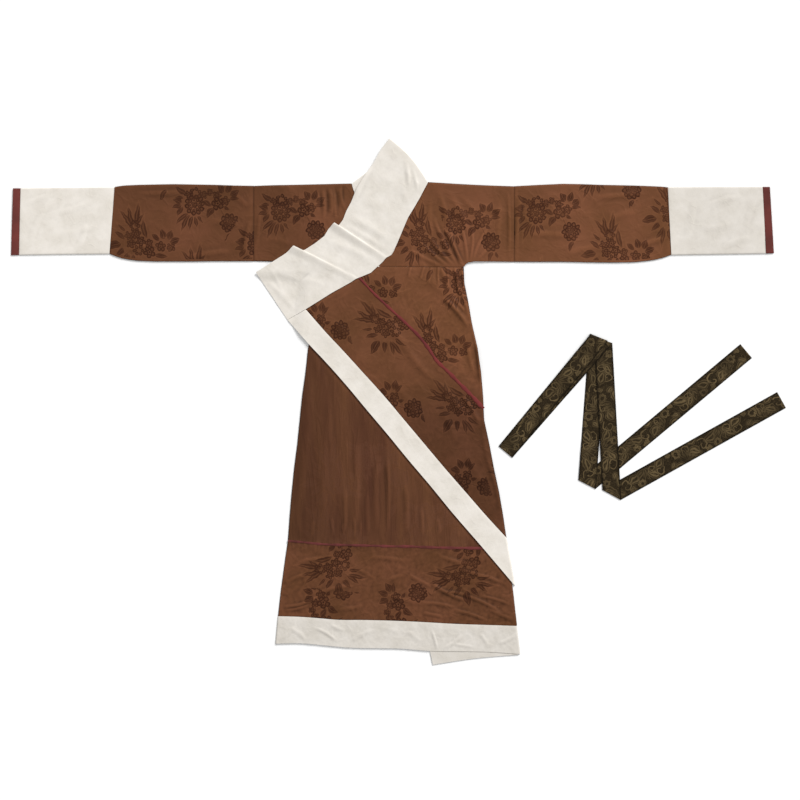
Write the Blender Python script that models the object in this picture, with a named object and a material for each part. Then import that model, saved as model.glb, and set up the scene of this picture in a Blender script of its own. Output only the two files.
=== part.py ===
"""A long-sleeved, cross-collared robe and its belt, laid out flat and face up on a surface.

The robe lies in the XY plane with its neck towards +Y and its front facing +Z. The origin is on
the surface, under the middle of everything that is laid out. Tables hold millimetres; the meshes
are made in metres.
"""

import math

import bpy
import numpy as np

MM = 0.001

# Walls, gaps and layer heights, in millimetres. The robe lies in layers: back, the folded return of
# the under-wrap, the under-wrap, and the over-wrap with its collar.
SILK = 1.2  # one layer of figured silk
BAND = 1.6  # the cream banding, which is doubled cloth
BELT = 1.2  # the sewn belt, pressed flat
SEAM = 0.3  # gap between two pieces at a seam
RETURN_BASE = 1.6  # underside of the part of the under-wrap that is folded back
UNDER_BASE = 3.2  # underside of the under-wrap and the sleeves' fronts
OVER_BASE = 5.2  # underside of the over-wrap and the collar
OVER_HOLD, OVER_FALL = 24.0, 36.0  # past the robe's outline it stays level, then eases down
BODICE_EASE_X, BODICE_EASE = 210.0, 100.0  # where the right bodice eases down to its sleeve
LIP_REACH = 3.5  # how far in from a fold the cloth starts to turn down
BACK_INSET = 3.5  # how far the back layer stays inside the folds of the front
PIPING = 8.0  # width of the maroon strips let into two seams
PIPING_WALL = 1.6
PIPING_GAP = 0.6
NECK_GAP = 1.0  # clears the collar's turn at the neck from the shoulders beside it
LIP_TURNS = (0.0, 0.35, 0.7, 1.0)  # shares of the quarter turn at a fold

# Driving lines of the robe, in millimetres.
UNDER_MARGIN = 8.0  # how far the under-wrap stays inside the over-wrap's right fold
WAIST_TURN = 2.5  # how far under the waist seam the under-wrap's skirt ends
WAIST_Y = 386.0  # seam between bodice and skirt, at the armpits
NECK_SEAM_Y = 616.5  # seam between the back and the collar behind the neck
SLEEVE_SEAM_LEFT = -416.0
SLEEVE_SEAM_RIGHT = 334.0
NECK_BOW = 9.0  # how far the collar's fold at the neck bows outwards

# Side folds of the body. Columns: y, x of the left fold, x of the right fold.
SIDE_FOLDS = (
    (386, -220, 189),
    (340, -228, 191),
    (291, -236, 201),
    (222, -247, 213),
    (153, -260, 229),
    (84, -267, 239),
    (14, -277, 245),
    (-55, -284, 248),
    (-124, -291, 263),
    (-193, -300, 276),
    (-262, -307, 291),
    (-332, -313, 303),
    (-401, -318, 313),
    (-470, -328, 320),
    (-545, -338, 331),
    (-633, -348, 341),
    (-725, -354, 352),
)

# Sleeve sections. Columns: x, y of the lower fold, x, y of the upper fold.
LEFT_SLEEVE = (
    (-832, 424, -817, 617),
    (-814, 417, -805, 619),
    (-796, 411, -790, 621),
    (-774, 407, -770, 622),
    (-751, 404, -747, 623),
    (-700, 402, -700, 624),
    (-649, 402, -649, 625),
    (-588, 402, -588, 624),
    (-528, 403, -528, 623),
    (-472, 403, -472, 621),
    (SLEEVE_SEAM_LEFT, 403, SLEEVE_SEAM_LEFT, 620),
)
RIGHT_SLEEVE = (
    (SLEEVE_SEAM_RIGHT, 401, SLEEVE_SEAM_RIGHT, 619),
    (409, 401, 409, 623),
    (475, 401, 475, 626),
    (530, 400, 530, 625),
    (582, 399, 582, 623),
    (635, 399, 635, 622),
    (680, 400, 680, 621),
    (712, 403, 708, 620),
    (740, 407, 733, 619),
    (764, 413, 755, 618),
    (787, 421, 777, 616),
)
LEFT_CUFF = ((-1093, 421, -1088, 613), (-960, 423, -950, 615), (-832, 424, -817, 616))
RIGHT_CUFF = ((787, 421, 777, 616), (925, 423, 915, 617), (1060, 425, 1050, 617))
LEFT_BINDING = ((-1116, 420, -1110, 613), (-1093, 421, -1088, 613))
RIGHT_BINDING = ((1060, 425, 1050, 617), (1083, 426, 1071, 617))

# Seams and edges, as points x, y.
LEFT_SHOULDER = ((SLEEVE_SEAM_LEFT, 620), (-365, 622), (-312, 623), (-225, 625), (-135, 627))
LEFT_UNDERARM = ((SLEEVE_SEAM_LEFT, 403), (-355, 402), (-300, 401), (-250, 398), (-220, 386))
RIGHT_SHOULDER = ((87, 631), (121, 629), (170, 626), (250, 622), (SLEEVE_SEAM_RIGHT, 619))
RIGHT_UNDERARM = ((189, 386), (193, 393), (201, 399), (219, 402), (279, 402), (SLEEVE_SEAM_RIGHT, 401))
UNDER_NECKLINE = ((-58, 386), (-84, 470), (-110, 550), (-135, 627))
UNDER_COLLAR_EDGE = ((96, 388), (-62, 682))  # free edge of the collar on the under-wrap
NECK_LEFT = ((-98, NECK_SEAM_Y), (-58, 670), (-38, 704), (-23, 738))  # collar behind the neck
NECK_RIGHT = ((80, NECK_SEAM_Y), (41, 664), (11, 701), (-18, 738))
UPPER_PIPING = (
    (-112, 355), (-70, 310), (-14, 257), (24, 222), (59, 187), (86, 153),
    (109, 118), (146, 82), (178, 49), (213, 14), (246, -22),
)
LAPEL_SEAM = (
    (-266, 264), (-200, 189), (-166, 153), (-103, 84), (-40, 14), (18, -55),
    (76, -124), (134, -193), (194, -262), (255, -332), (313, -395),
)
LAPEL_EDGE = (
    (-319, 234), (-252, 158), (-216, 120), (-150, 46), (-90, -26), (-30, -97),
    (28, -168), (90, -241), (158, -324), (236, -414), (337, -533),
)
LOWER_PIPING = (
    (-318, -403), (-272, -407), (-225, -412), (-153, -415), (-73, -417), (-15, -419),
    (28, -419), (74, -421), (149, -423), (221, -424), (307, -425),
)
HEM_SEAM = (
    (-347, -620), (-279, -622), (-225, -626), (-179, -630), (-96, -631), (-14, -633),
    (74, -637), (162, -642), (250, -645), (342, -648),
)
HEM_EDGE = (
    (-354, -699), (-279, -698), (-211, -704), (-144, -710), (-60, -712), (3, -713),
    (95, -720), (178, -721), (268, -723), (352, -729),
)
RETURN_SEAM = ((84, -684), (150, -676), (220, -666), (285, -658), (341, -652))
RETURN_EDGE = ((100, -760), (155, -751), (209, -743), (280, -736), (349, -731))
RETURN_TOP = ((60, -500), (130, -495), (200, -490), (260, -487), (322, -485))

# The collar, a row for each line across it from its end at the lapel up to the fold at the neck.
# Columns: x and y of its free edge, x and y of its sewn edge, rise of a pleat at each of them.
COLLAR_ROWS = (
    (-410, 371, -319, 234, 0.0, 0.0),
    (-387, 385, -266, 264, 0.0, 0.0),
    (-364, 400, -229, 287, 0.0, 0.0),
    (-329, 422, -191, 311, 1.0, 0.0),
    (-304, 440, -153, 332, 5.5, 1.5),
    (-276, 431, -119, 351, 0.5, 0.0),
    (-240, 454, -112, 355, 0.5, 0.0),
    (-213, 475, -78, 369, 1.0, 0.0),
    (-201, 495, -59, 387, 3.0, 0.5),
    (-188, 506, -47, 398, 5.5, 2.0),
    (-174, 502, -35, 411, 1.0, 0.0),
    (-159, 522, -21, 420, 0.5, 0.5),
    (-149, 548, -6, 447, 2.0, 0.5),
    (-135, 574, 7, 477, 0.5, 0.0),
    (-119, 614, 29, 528, 0.0, 0.0),
    (-96, 650, 46, 556, 0.0, 0.0),
    (-72, 685, 63, 585, 0.0, 0.0),
    (-50, 724, 75, 608, 0.0, 0.0),
    (-24, 758, 87, 631, 0.0, 0.0),
)
LAPEL_CORNER, UNDERARM_JOIN = 1, 6  # rows where the lapel seam and the upper piping meet the sewn edge
WAIST_JOIN = 8  # row where the waist seam meets the sewn edge

# Largest soft folds. Columns: start x, y, end x, y, half width, height.
OVER_WRAP_FOLDS = (
    (60, 372, 180, 250, 24, 3.0),
    (212, 300, 236, 30, 15, 2.5),
    (120, 380, 150, 300, 14, 1.8),
    (182, 392, 110, 560, 16, 2.5),
    (140, 400, 70, 520, 15, 1.8),
    (230, 425, 180, 600, 18, 1.5),
)
UNDER_WRAP_FOLDS = (
    (-250, 120, -292, -390, 22, 2.0),
    (-190, 30, -205, -390, 26, 1.8),
    (-120, -60, -125, -400, 20, 2.2),
    (-55, -130, -60, -400, 18, 1.6),
    (20, -215, 22, -402, 16, 2.4),
)
HEM_FOLDS = (
    (-330, -585, -160, -548, 16, 2.2),
    (110, -480, 300, -590, 18, 2.4),
    (-60, -560, 120, -590, 20, 1.4),
)

# The belt's centre line, folded at each inner point, and its cut width.
BELT_WIDTH = 52.0
BELT_LINE = (
    (1105, 3),
    (615, -271),
    (591, 176),
    (309, -147),
    (578, 184),
    (544, -241),
    (1003, 144),
)
# Height of each stretch in layers of belt. Columns: share of the stretch, layers below it there.
BELT_LAYERS = (
    ((0.0, 0), (1.0, 0)),
    ((0.0, 1), (1.0, 1)),
    ((0.0, 2), (0.25, 2), (0.48, 0), (1.0, 0)),
    ((0.0, 1), (0.52, 1), (0.75, 3), (1.0, 3)),
    ((0.0, 0), (0.7, 0), (0.8, 1), (1.0, 1)),
    ((0.0, 0), (1.0, 0)),
)
BELT_PITCH = BELT + 0.4


def clear_scene():
    for old in list(bpy.data.objects):
        bpy.data.objects.remove(old)


def material(name, colour, roughness):
    made = bpy.data.materials.new(name)
    made.use_nodes = True
    shader = made.node_tree.nodes["Principled BSDF"]
    shader.inputs["Base Color"].default_value = (*colour, 1.0)
    shader.inputs["Roughness"].default_value = roughness
    shader.inputs["Metallic"].default_value = 0.0
    return made


def add_object(name, points, faces, finish):
    """One named object from points in millimetres."""
    mesh = bpy.data.meshes.new(name)
    mesh.from_pydata([tuple(p) for p in np.asarray(points) * MM], [], faces)
    mesh.shade_smooth()
    mesh.set_sharp_from_angle(angle=math.radians(50))
    mesh.materials.append(finish)
    bpy.context.scene.collection.objects.link(bpy.data.objects.new(name, mesh))


def resampled(points, count):
    """count points along a smooth curve through the given ones, evenly spaced by length."""
    points = np.asarray(points, float)
    length = np.r_[0.0, np.cumsum(np.linalg.norm(np.diff(points, axis=0), axis=1))]
    slope = np.gradient(points, length, axis=0)
    at = np.linspace(0.0, length[-1], count)
    span = np.clip(np.searchsorted(length, at, side="right") - 1, 0, len(points) - 2)
    step = (length[span + 1] - length[span])[:, None]
    t = (at - length[span])[:, None] / step
    before, after = points[span], points[span + 1]
    return (
        before * (1 + 2 * t) * (1 - t) ** 2
        + slope[span] * step * t * (1 - t) ** 2
        + after * t**2 * (3 - 2 * t)
        + slope[span + 1] * step * t**2 * (t - 1)
    )


def side_fold(side, top, bottom, count):
    """count points down the body's left or right fold, from y = top to y = bottom."""
    rows = np.asarray(SIDE_FOLDS, float)
    y = np.linspace(top, bottom, count)
    x = np.interp(-y, -rows[:, 0], rows[:, 1 if side == "left" else 2])
    return np.stack([x, y], axis=1)


def patch(left, right, bottom, top):
    """A grid of points filling four edges that meet at their ends. left and right run upwards,
    bottom and top run to the right."""
    left, right, bottom, top = (np.asarray(e, float) for e in (left, right, bottom, top))
    u = np.linspace(0, 1, len(bottom))[:, None, None]
    v = np.linspace(0, 1, len(left))[None, :, None]
    across = (1 - u) * left[None] + u * right[None]
    upward = (1 - v) * bottom[:, None] + v * top[:, None]
    corners = (
        (1 - u) * (1 - v) * left[0]
        + u * (1 - v) * right[0]
        + (1 - u) * v * left[-1]
        + u * v * right[-1]
    )
    return across + upward - corners


def inward(grid, side):
    """Steps into the piece from one side of a grid, along its own lines, each of them as long as
    takes it 1 mm in, measured square to that side."""
    lines = {
        "left": (grid[0], grid[1]),
        "right": (grid[-1], grid[-2]),
        "bottom": (grid[:, 0], grid[:, 1]),
        "top": (grid[:, -1], grid[:, -2]),
    }
    edge, next_in = lines[side]
    along = np.gradient(edge, axis=0)
    square = np.stack([-along[:, 1], along[:, 0]], axis=1)
    square /= np.linalg.norm(square, axis=1)[:, None]
    step = next_in - edge
    return step / np.abs(np.sum(square * step, axis=1))[:, None]


def inset(grid, gaps):
    """The grid with the named sides moved in by their gaps."""
    moved = grid.copy()
    for side, gap in gaps.items():
        shift = inward(grid, side) * gap
        if side in ("left", "right"):
            moved[0 if side == "left" else -1] += shift
        else:
            moved[:, 0 if side == "bottom" else -1] += shift
    return moved


def with_lip(grid, fall, side, wall):
    """Turns one side down as a quarter fold. fall is the share of the height that each point keeps."""
    flip = side in ("bottom", "top")
    rows = np.swapaxes(grid, 0, 1) if flip else grid
    keeps = fall.T if flip else fall
    into = inward(grid, side)
    last = side in ("right", "top")
    edge = rows[-1] if last else rows[0]
    keep_edge = keeps[-1] if last else keeps[0]
    new_rows, new_keeps = [], []
    for share in LIP_TURNS:
        turn = share * math.pi / 2
        reach = wall / 2 + LIP_REACH * (1 - math.sin(turn))
        new_rows.append(edge + into * reach)
        new_keeps.append(keep_edge * math.cos(turn))
    if last:
        rows = np.concatenate([rows[:-1], new_rows])
        keeps = np.concatenate([keeps[:-1], new_keeps])
    else:
        rows = np.concatenate([new_rows[::-1], rows[1:]])
        keeps = np.concatenate([new_keeps[::-1], keeps[1:]])
    if flip:
        return np.swapaxes(rows, 0, 1), keeps.T
    return rows, keeps


def wall_normals(middle):
    """Unit normals of a grid of points, from the way it runs each way."""
    along_u = np.gradient(middle, axis=0)
    along_v = np.gradient(middle, axis=1)
    normal = np.cross(along_u, along_v)
    normal /= np.linalg.norm(normal, axis=2)[:, :, None]
    return normal * np.sign(normal[:, :, 2:].sum() or 1.0)


def turned_normals(middle):
    """Normals of a wall that turns right over: they point up on its front and down after its fold."""
    normal = np.cross(np.gradient(middle, axis=0), np.gradient(middle, axis=1))
    normal /= np.linalg.norm(normal, axis=2)[:, :, None]
    return normal * np.sign(normal[0, 0, 2])


def grid_faces(rows, columns, start, turned):
    """Triangles of a grid whose points are numbered row by row from start. Each cell is split the
    same way on both sides of a wall, which keeps its thickness even."""
    faces = []
    for i in range(rows - 1):
        for j in range(columns - 1):
            a = start + i * columns + j
            b, c, d = a + columns, a + columns + 1, a + 1
            faces += [(c, b, a), (d, c, a)] if turned else [(a, b, c), (a, c, d)]
    return faces


def closed_wall(name, middle, normal, wall, finish):
    """A closed wall of the given thickness, half on each side of a grid of points."""
    if np.cross(middle[1, 0] - middle[0, 0], middle[0, 1] - middle[0, 0]) @ normal[0, 0] < 0:
        middle, normal = middle[::-1], normal[::-1]
    rows, columns = middle.shape[:2]
    half = wall / 2
    upper = (middle + normal * half).reshape(-1, 3)
    lower = (middle - normal * half).reshape(-1, 3)
    count = rows * columns
    faces = grid_faces(rows, columns, 0, False) + grid_faces(rows, columns, count, True)
    rim = (
        [i * columns for i in range(rows)]
        + [(rows - 1) * columns + j for j in range(1, columns)]
        + [i * columns + columns - 1 for i in range(rows - 2, -1, -1)]
        + [j for j in range(columns - 2, 0, -1)]
    )
    for here, there in zip(rim, rim[1:] + rim[:1]):
        faces.append((here, here + count, there + count, there))
    add_object(name, np.concatenate([upper, lower]), faces, finish)


def soft_folds(grid, folds):
    """Height added by soft folds: a rounded ridge along each line, fading at both of its ends."""
    height = np.zeros(grid.shape[:2])
    for x0, y0, x1, y1, half_width, rise in folds:
        run = np.array([x1 - x0, y1 - y0], float)
        length = np.linalg.norm(run)
        run /= length
        offset = grid - np.array([x0, y0], float)
        along = offset @ run / length
        aside = (offset @ np.array([-run[1], run[0]])) / half_width
        window = np.clip(along * 4, 0, 1) * np.clip((1 - along) * 4, 0, 1)
        height += rise * np.exp(-(aside**2)) * window
    return height


def smooth_share(value):
    """0 below 0, 1 above 1, and an even curve between."""
    t = np.clip(value, 0.0, 1.0)
    return t * t * (3 - 2 * t)


def panel(name, grid, base, wall, finish, gaps, lips=(), folds=()):
    """A sewn piece that lies on what is under it. base is its underside's height, a number or a
    function of the grid; gaps are its insets at seams; lips name its folded sides."""
    grid = inset(grid, gaps)
    fall = np.ones(grid.shape[:2])
    for side in lips:
        grid, fall = with_lip(grid, fall, side, wall)
    under = base(grid) if callable(base) else np.full(grid.shape[:2], float(base))
    under = under + soft_folds(grid, folds) * fall
    height = wall / 2 + under * fall
    middle = np.concatenate([grid, height[:, :, None]], axis=2)
    closed_wall(name, middle, wall_normals(middle), wall, finish)


def over_base(grid):
    """Underside of the over-wrap: level on the garment, and eased down to the surface past the left
    sleeve's lower fold and the body's left fold, where nothing lies under it."""
    rows = np.asarray(SIDE_FOLDS, float)
    below_sleeve = LEFT_UNDERARM[1][1] - grid[:, :, 1]
    left_of_body = np.interp(-grid[:, :, 1], -rows[:, 0], rows[:, 1]) - grid[:, :, 0]
    outside = np.minimum(below_sleeve, left_of_body)
    return OVER_BASE * (1 - smooth_share((outside - OVER_HOLD) / OVER_FALL))


def over_bodice_base(grid):
    """Underside of the right bodice: over the under-wrap, and level with the sleeve at its seam."""
    eased = smooth_share((grid[:, :, 0] - BODICE_EASE_X) / BODICE_EASE)
    return OVER_BASE - (OVER_BASE - UNDER_BASE) * eased


def sleeve_tube(name, sections, wall, finish):
    """A flattened tube, open at both ends: back on the surface, front level with the under-wrap."""
    sections = np.array(sections, float)
    sections[0, 0::2] += SEAM / 2
    sections[-1, 0::2] -= SEAM / 2
    outer_height = UNDER_BASE + SILK
    loops = []
    for depth in (0.0, wall):
        radius = outer_height / 2 - depth
        turns = np.linspace(-math.pi / 2, math.pi / 2, 5)
        flats = np.linspace(0, 1, 6)[1:-1]
        loop = []
        for low_x, low_y, high_x, high_y in sections:
            near, far = low_y + outer_height / 2, high_y - outer_height / 2
            centre = outer_height / 2
            top_turn = [(far + radius * math.cos(a), centre + radius * math.sin(a)) for a in turns]
            front = [(far + (near - far) * f, centre + radius) for f in flats]
            low_turn = [(near - radius * math.cos(a), centre - radius * math.sin(a)) for a in turns]
            back = [(near + (far - near) * f, centre - radius) for f in flats]
            ring = np.array(top_turn + front + low_turn + back)
            x = np.interp(ring[:, 0], (low_y, high_y), (low_x, high_x))
            loop.append(np.column_stack([x, ring]))
        loops.append(np.array(loop))
    stations, around = loops[0].shape[:2]
    count = stations * around
    faces = []
    for i in range(stations - 1):
        for j in range(around):
            k = (j + 1) % around
            a, b = i * around + j, i * around + k
            quad = (a, b, b + around, a + around)
            faces.append(quad)
            faces.append(tuple(p + count for p in quad[::-1]))
    for j in range(around):
        k = (j + 1) % around
        end = (stations - 1) * around
        faces.append((j, j + count, k + count, k))
        faces.append((end + j, end + k, end + k + count, end + j + count))
    add_object(name, np.concatenate([loops[0].reshape(-1, 3), loops[1].reshape(-1, 3)]), faces, finish)


def sleeves(silk, cream, maroon):
    sleeve_tube("sleeve_left", LEFT_SLEEVE, SILK, silk)
    sleeve_tube("sleeve_right", RIGHT_SLEEVE, SILK, silk)
    sleeve_tube("cuff_left", LEFT_CUFF, SILK, cream)
    sleeve_tube("cuff_right", RIGHT_CUFF, SILK, cream)
    sleeve_tube("cuff_binding_left", LEFT_BINDING, SILK, maroon)
    sleeve_tube("cuff_binding_right", RIGHT_BINDING, SILK, maroon)


def back(silk, cream):
    """The back of bodice, skirt and hem, which rest on the surface."""
    half_seam = SEAM / 2
    waist = np.linspace((-220, WAIST_Y), (189, WAIST_Y), 9)
    lower = np.concatenate([LEFT_UNDERARM[:-1], waist, RIGHT_UNDERARM[1:]])
    neck = [(x, NECK_SEAM_Y + BACK_INSET) for x in (-120, -50, 20, 90)]
    shoulders = resampled(LEFT_SHOULDER, 7)[:-1], resampled(RIGHT_SHOULDER, 9)[1:]
    upper = np.concatenate([shoulders[0], neck, shoulders[1]])
    left = np.linspace(lower[0], upper[0], 6)
    right = np.linspace(lower[-1], upper[-1], 6)
    panel(
        "bodice_back",
        patch(left, right, lower, upper),
        0.0,
        SILK,
        silk,
        {"left": half_seam, "right": half_seam, "bottom": BACK_INSET, "top": BACK_INSET},
    )
    top = np.linspace((-222, WAIST_Y - BACK_INSET), (190, WAIST_Y - BACK_INSET), 9)
    hem_seam = resampled(HEM_SEAM, 9)
    left = side_fold("left", WAIST_Y - BACK_INSET, hem_seam[0][1], 17)[::-1]
    right = side_fold("right", WAIST_Y - BACK_INSET, hem_seam[-1][1], 17)[::-1]
    top[0], top[-1], hem_seam[0], hem_seam[-1] = left[-1], right[-1], left[0], right[0]
    sides = {"left": BACK_INSET, "right": BACK_INSET}
    panel(
        "skirt_back",
        patch(left, right, hem_seam, top),
        0.0,
        SILK,
        silk,
        {**sides, "bottom": half_seam, "top": half_seam},
    )
    hem_edge = resampled(HEM_EDGE, 9)
    panel(
        "hem_back",
        patch(
            np.linspace(hem_edge[0], hem_seam[0], 3),
            np.linspace(hem_edge[-1], hem_seam[-1], 3),
            hem_edge,
            hem_seam,
        ),
        0.0,
        SILK,
        cream,
        {**sides, "bottom": BACK_INSET, "top": half_seam},
    )


def under_wrap(silk, plain, cream, maroon):
    """The wearer's right front, which the over-wrap covers: bodice, skirt, hem and its folded return."""
    half_seam = SEAM / 2
    waist = np.linspace(LEFT_UNDERARM[-1], UNDER_NECKLINE[0], 5)
    lower = np.concatenate([LEFT_UNDERARM, waist[1:]])
    upper = resampled(LEFT_SHOULDER, len(lower))
    panel(
        "bodice_left",
        patch(np.linspace(lower[0], upper[0], 7), resampled(UNDER_NECKLINE, 7), lower, upper),
        UNDER_BASE,
        SILK,
        silk,
        {"left": half_seam, "right": half_seam},
        lips=("bottom", "top"),
    )
    seam = resampled(LOWER_PIPING, 17)
    left = side_fold("left", WAIST_Y - WAIST_TURN, seam[0][1], 17)[::-1]
    right = side_fold("right", WAIST_Y - WAIST_TURN, seam[-1][1], 17)[::-1]
    right[:, 0] -= UNDER_MARGIN
    top = np.linspace(left[-1], right[-1], 17)
    seam[0], seam[-1] = left[0], right[0]
    hem_top = seam.copy()
    hem_top[-1, 0] += UNDER_MARGIN
    panel(
        "under_skirt",
        patch(left, right, seam, top),
        UNDER_BASE,
        SILK,
        plain,
        {"bottom": PIPING / 2 + PIPING_GAP, "top": half_seam},
        lips=("left",),
        folds=UNDER_WRAP_FOLDS,
    )
    hem_seam = resampled(HEM_SEAM, 17)
    left = side_fold("left", seam[0][1], hem_seam[0][1], 9)[::-1]
    hem_right = side_fold("right", seam[-1][1], hem_seam[-1][1], 9)[::-1]
    left[0], hem_right[0] = hem_seam[0], hem_seam[-1]
    piping_strip(
        "piping_straight",
        seam,
        left[-1] - left[-2],
        right[1] - right[0],
        UNDER_BASE,
        maroon,
        ("left",),
        {},
    )
    panel(
        "hem_panel",
        patch(left, hem_right, hem_seam, hem_top),
        UNDER_BASE,
        SILK,
        silk,
        {"bottom": half_seam, "top": PIPING / 2 + PIPING_GAP},
        lips=("left", "right"),
        folds=HEM_FOLDS,
    )
    hem_edge = resampled(HEM_EDGE, 17)
    panel(
        "hem_band",
        patch(
            np.linspace(hem_edge[0], hem_seam[0], 4),
            np.linspace(hem_edge[-1], hem_seam[-1], 4),
            hem_edge,
            hem_seam,
        ),
        UNDER_BASE,
        BAND,
        cream,
        {"top": half_seam},
        lips=("left", "right"),
    )
    return_seam = np.asarray(RETURN_SEAM, float)
    return_edge = np.asarray(RETURN_EDGE, float)
    return_top = np.asarray(RETURN_TOP, float)
    panel(
        "return_panel",
        patch(
            np.linspace(return_seam[0], return_top[0], 4),
            np.linspace(return_seam[-1], return_top[-1], 4),
            return_seam,
            return_top,
        ),
        RETURN_BASE,
        SILK,
        silk,
        {"bottom": half_seam, "right": BACK_INSET},
    )
    panel(
        "return_band",
        patch(
            np.linspace(return_edge[0], return_seam[0], 3),
            np.linspace(return_edge[-1], return_seam[-1], 3),
            return_edge,
            return_seam,
        ),
        RETURN_BASE,
        SILK,
        cream,
        {"top": half_seam, "right": BACK_INSET},
    )


def piping_strip(name, line, start_way, end_way, base, finish, lips, gaps):
    """A flat strip of folded maroon cloth let into a seam. The two ways are those of the pieces that
    its ends meet."""
    line = resampled(line, 19)
    along = np.gradient(line, axis=0)
    square = np.stack([-along[:, 1], along[:, 0]], axis=1)
    square /= np.linalg.norm(square, axis=1)[:, None]
    for end, way in ((0, start_way), (-1, end_way)):
        way = np.asarray(way, float)
        square[end] = way / (way @ square[end])
    lower, upper = line - square * PIPING / 2, line + square * PIPING / 2
    grid = np.stack([lower, upper], axis=1)
    panel(name, grid, base, PIPING_WALL, finish, gaps, lips)


def over_wrap(silk, cream, maroon):
    """The wearer's left front, on top: bodice, side panel, lapel panel, lapel band and piping."""
    half_seam = SEAM / 2
    rows = np.asarray(COLLAR_ROWS, float)
    sewn = rows[:, 2:4]
    waist_point = sewn[WAIST_JOIN]
    waist = np.linspace(waist_point, (189, WAIST_Y), 9)
    neckline = sewn[WAIST_JOIN:]
    lower = np.concatenate([waist, RIGHT_UNDERARM[1:]])
    upper = resampled(RIGHT_SHOULDER, len(lower))
    right = np.linspace(lower[-1], upper[-1], len(neckline))
    panel(
        "bodice_right",
        patch(neckline, right, lower, upper),
        over_bodice_base,
        SILK,
        silk,
        {"left": half_seam, "right": half_seam, "bottom": half_seam},
        lips=("top",),
        folds=OVER_WRAP_FOLDS,
    )
    piping = resampled(UPPER_PIPING, 19)
    top = resampled([waist_point, (60, WAIST_Y), (189, WAIST_Y)], 19)
    short = sewn[UNDERARM_JOIN : WAIST_JOIN + 1]
    short = np.concatenate([short[:1], resampled(short, 9)[1:-1], short[-1:]])
    side = side_fold("right", WAIST_Y, piping[-1][1], 9)[::-1]
    side[0] = piping[-1]
    piping_strip(
        "piping_diagonal",
        piping,
        sewn[UNDERARM_JOIN + 1] - sewn[UNDERARM_JOIN - 1],
        side[1] - side[0],
        over_base,
        maroon,
        ("right",),
        {"left": PIPING_GAP},
    )
    panel(
        "side_panel",
        patch(short, side, piping, top),
        over_base,
        SILK,
        silk,
        {"left": half_seam, "bottom": PIPING / 2 + PIPING_GAP, "top": half_seam},
        lips=("right",),
        folds=OVER_WRAP_FOLDS,
    )
    flap_left = sewn[LAPEL_CORNER : UNDERARM_JOIN + 1]
    side = side_fold("right", piping[-1][1], LAPEL_SEAM[-1][1], len(flap_left))[::-1]
    side[0], side[-1] = LAPEL_SEAM[-1], piping[-1]
    lapel_seam = resampled(LAPEL_SEAM, 19)
    panel(
        "lapel_panel",
        patch(flap_left, side, lapel_seam, piping),
        over_base,
        SILK,
        silk,
        {"left": half_seam, "bottom": half_seam, "top": PIPING / 2 + PIPING_GAP},
        lips=("right",),
    )
    lapel_edge = resampled(LAPEL_EDGE, 19)
    panel(
        "lapel_band",
        patch(
            np.linspace(lapel_edge[0], lapel_seam[0], 4),
            np.linspace(lapel_edge[-1], lapel_seam[-1], 4),
            lapel_edge,
            lapel_seam,
        ),
        over_base,
        BAND,
        cream,
        {"left": half_seam, "top": SEAM},
        lips=("right",),
    )


def turned_over(name, grid, base, bow, finish):
    """A band of the collar whose last row is its fold at the neck: its front lies on base, an array
    of heights, and it turns over there down to the surface."""
    under = float(base[-1, -1])
    radius = under / 2
    out = -inward(grid, "right")
    edge = grid[-1] - out * (radius + BAND / 2 + NECK_GAP - bow)
    front = np.concatenate([grid, (base + BAND / 2)[:, :, None]], axis=2)
    turn = []
    for angle in np.linspace(0, math.pi, 6):
        place = edge + out * radius * math.sin(angle)
        height = np.full((len(place), 1), BAND / 2 + under - radius * (1 - math.cos(angle)))
        turn.append(np.concatenate([place, height], axis=1))
    middle = np.concatenate([front[:-1], turn])
    closed_wall(name, middle, turned_normals(middle), BAND, finish)


def collar(cream):
    """The wide collar: its front, which folds over at the neck; the part behind the neck; and the
    part that goes down the under-wrap's neckline."""
    rows = np.asarray(COLLAR_ROWS, float)
    across = np.linspace(0, 1, 9)
    share = across[None, :, None]
    grid = rows[:, None, 0:2] * (1 - share) + rows[:, None, 2:4] * share
    grid = inset(grid, {"top": 2 * SEAM, "left": SEAM / 2})
    pleats = rows[:, None, 4] * (1 - across) ** 0.8 + rows[:, None, 5] * across
    bow = NECK_BOW * np.sin(math.pi * across)[:, None]
    turned_over("collar", grid, over_base(grid) + pleats, bow, cream)

    side_left, side_right = resampled(NECK_LEFT, 7), resampled(NECK_RIGHT, 7)
    neck = patch(
        side_left,
        side_right,
        np.linspace(side_left[0], side_right[0], 7),
        np.linspace(side_left[-1], side_right[-1], 7),
    )
    panel("collar_back", neck, 0.0, BAND, cream, {"bottom": SEAM})

    neckline = resampled(UNDER_NECKLINE, 7)
    free_edge = np.linspace(UNDER_COLLAR_EDGE[0], UNDER_COLLAR_EDGE[1], 7)
    share = np.linspace(0, 1, 5)[None, :, None]
    grid = inset(free_edge[:, None] * (1 - share) + neckline[:, None] * share, {"top": SEAM})
    turned_over("collar_under", grid, np.full(grid.shape[:2], UNDER_BASE), 0.0, cream)


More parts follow.
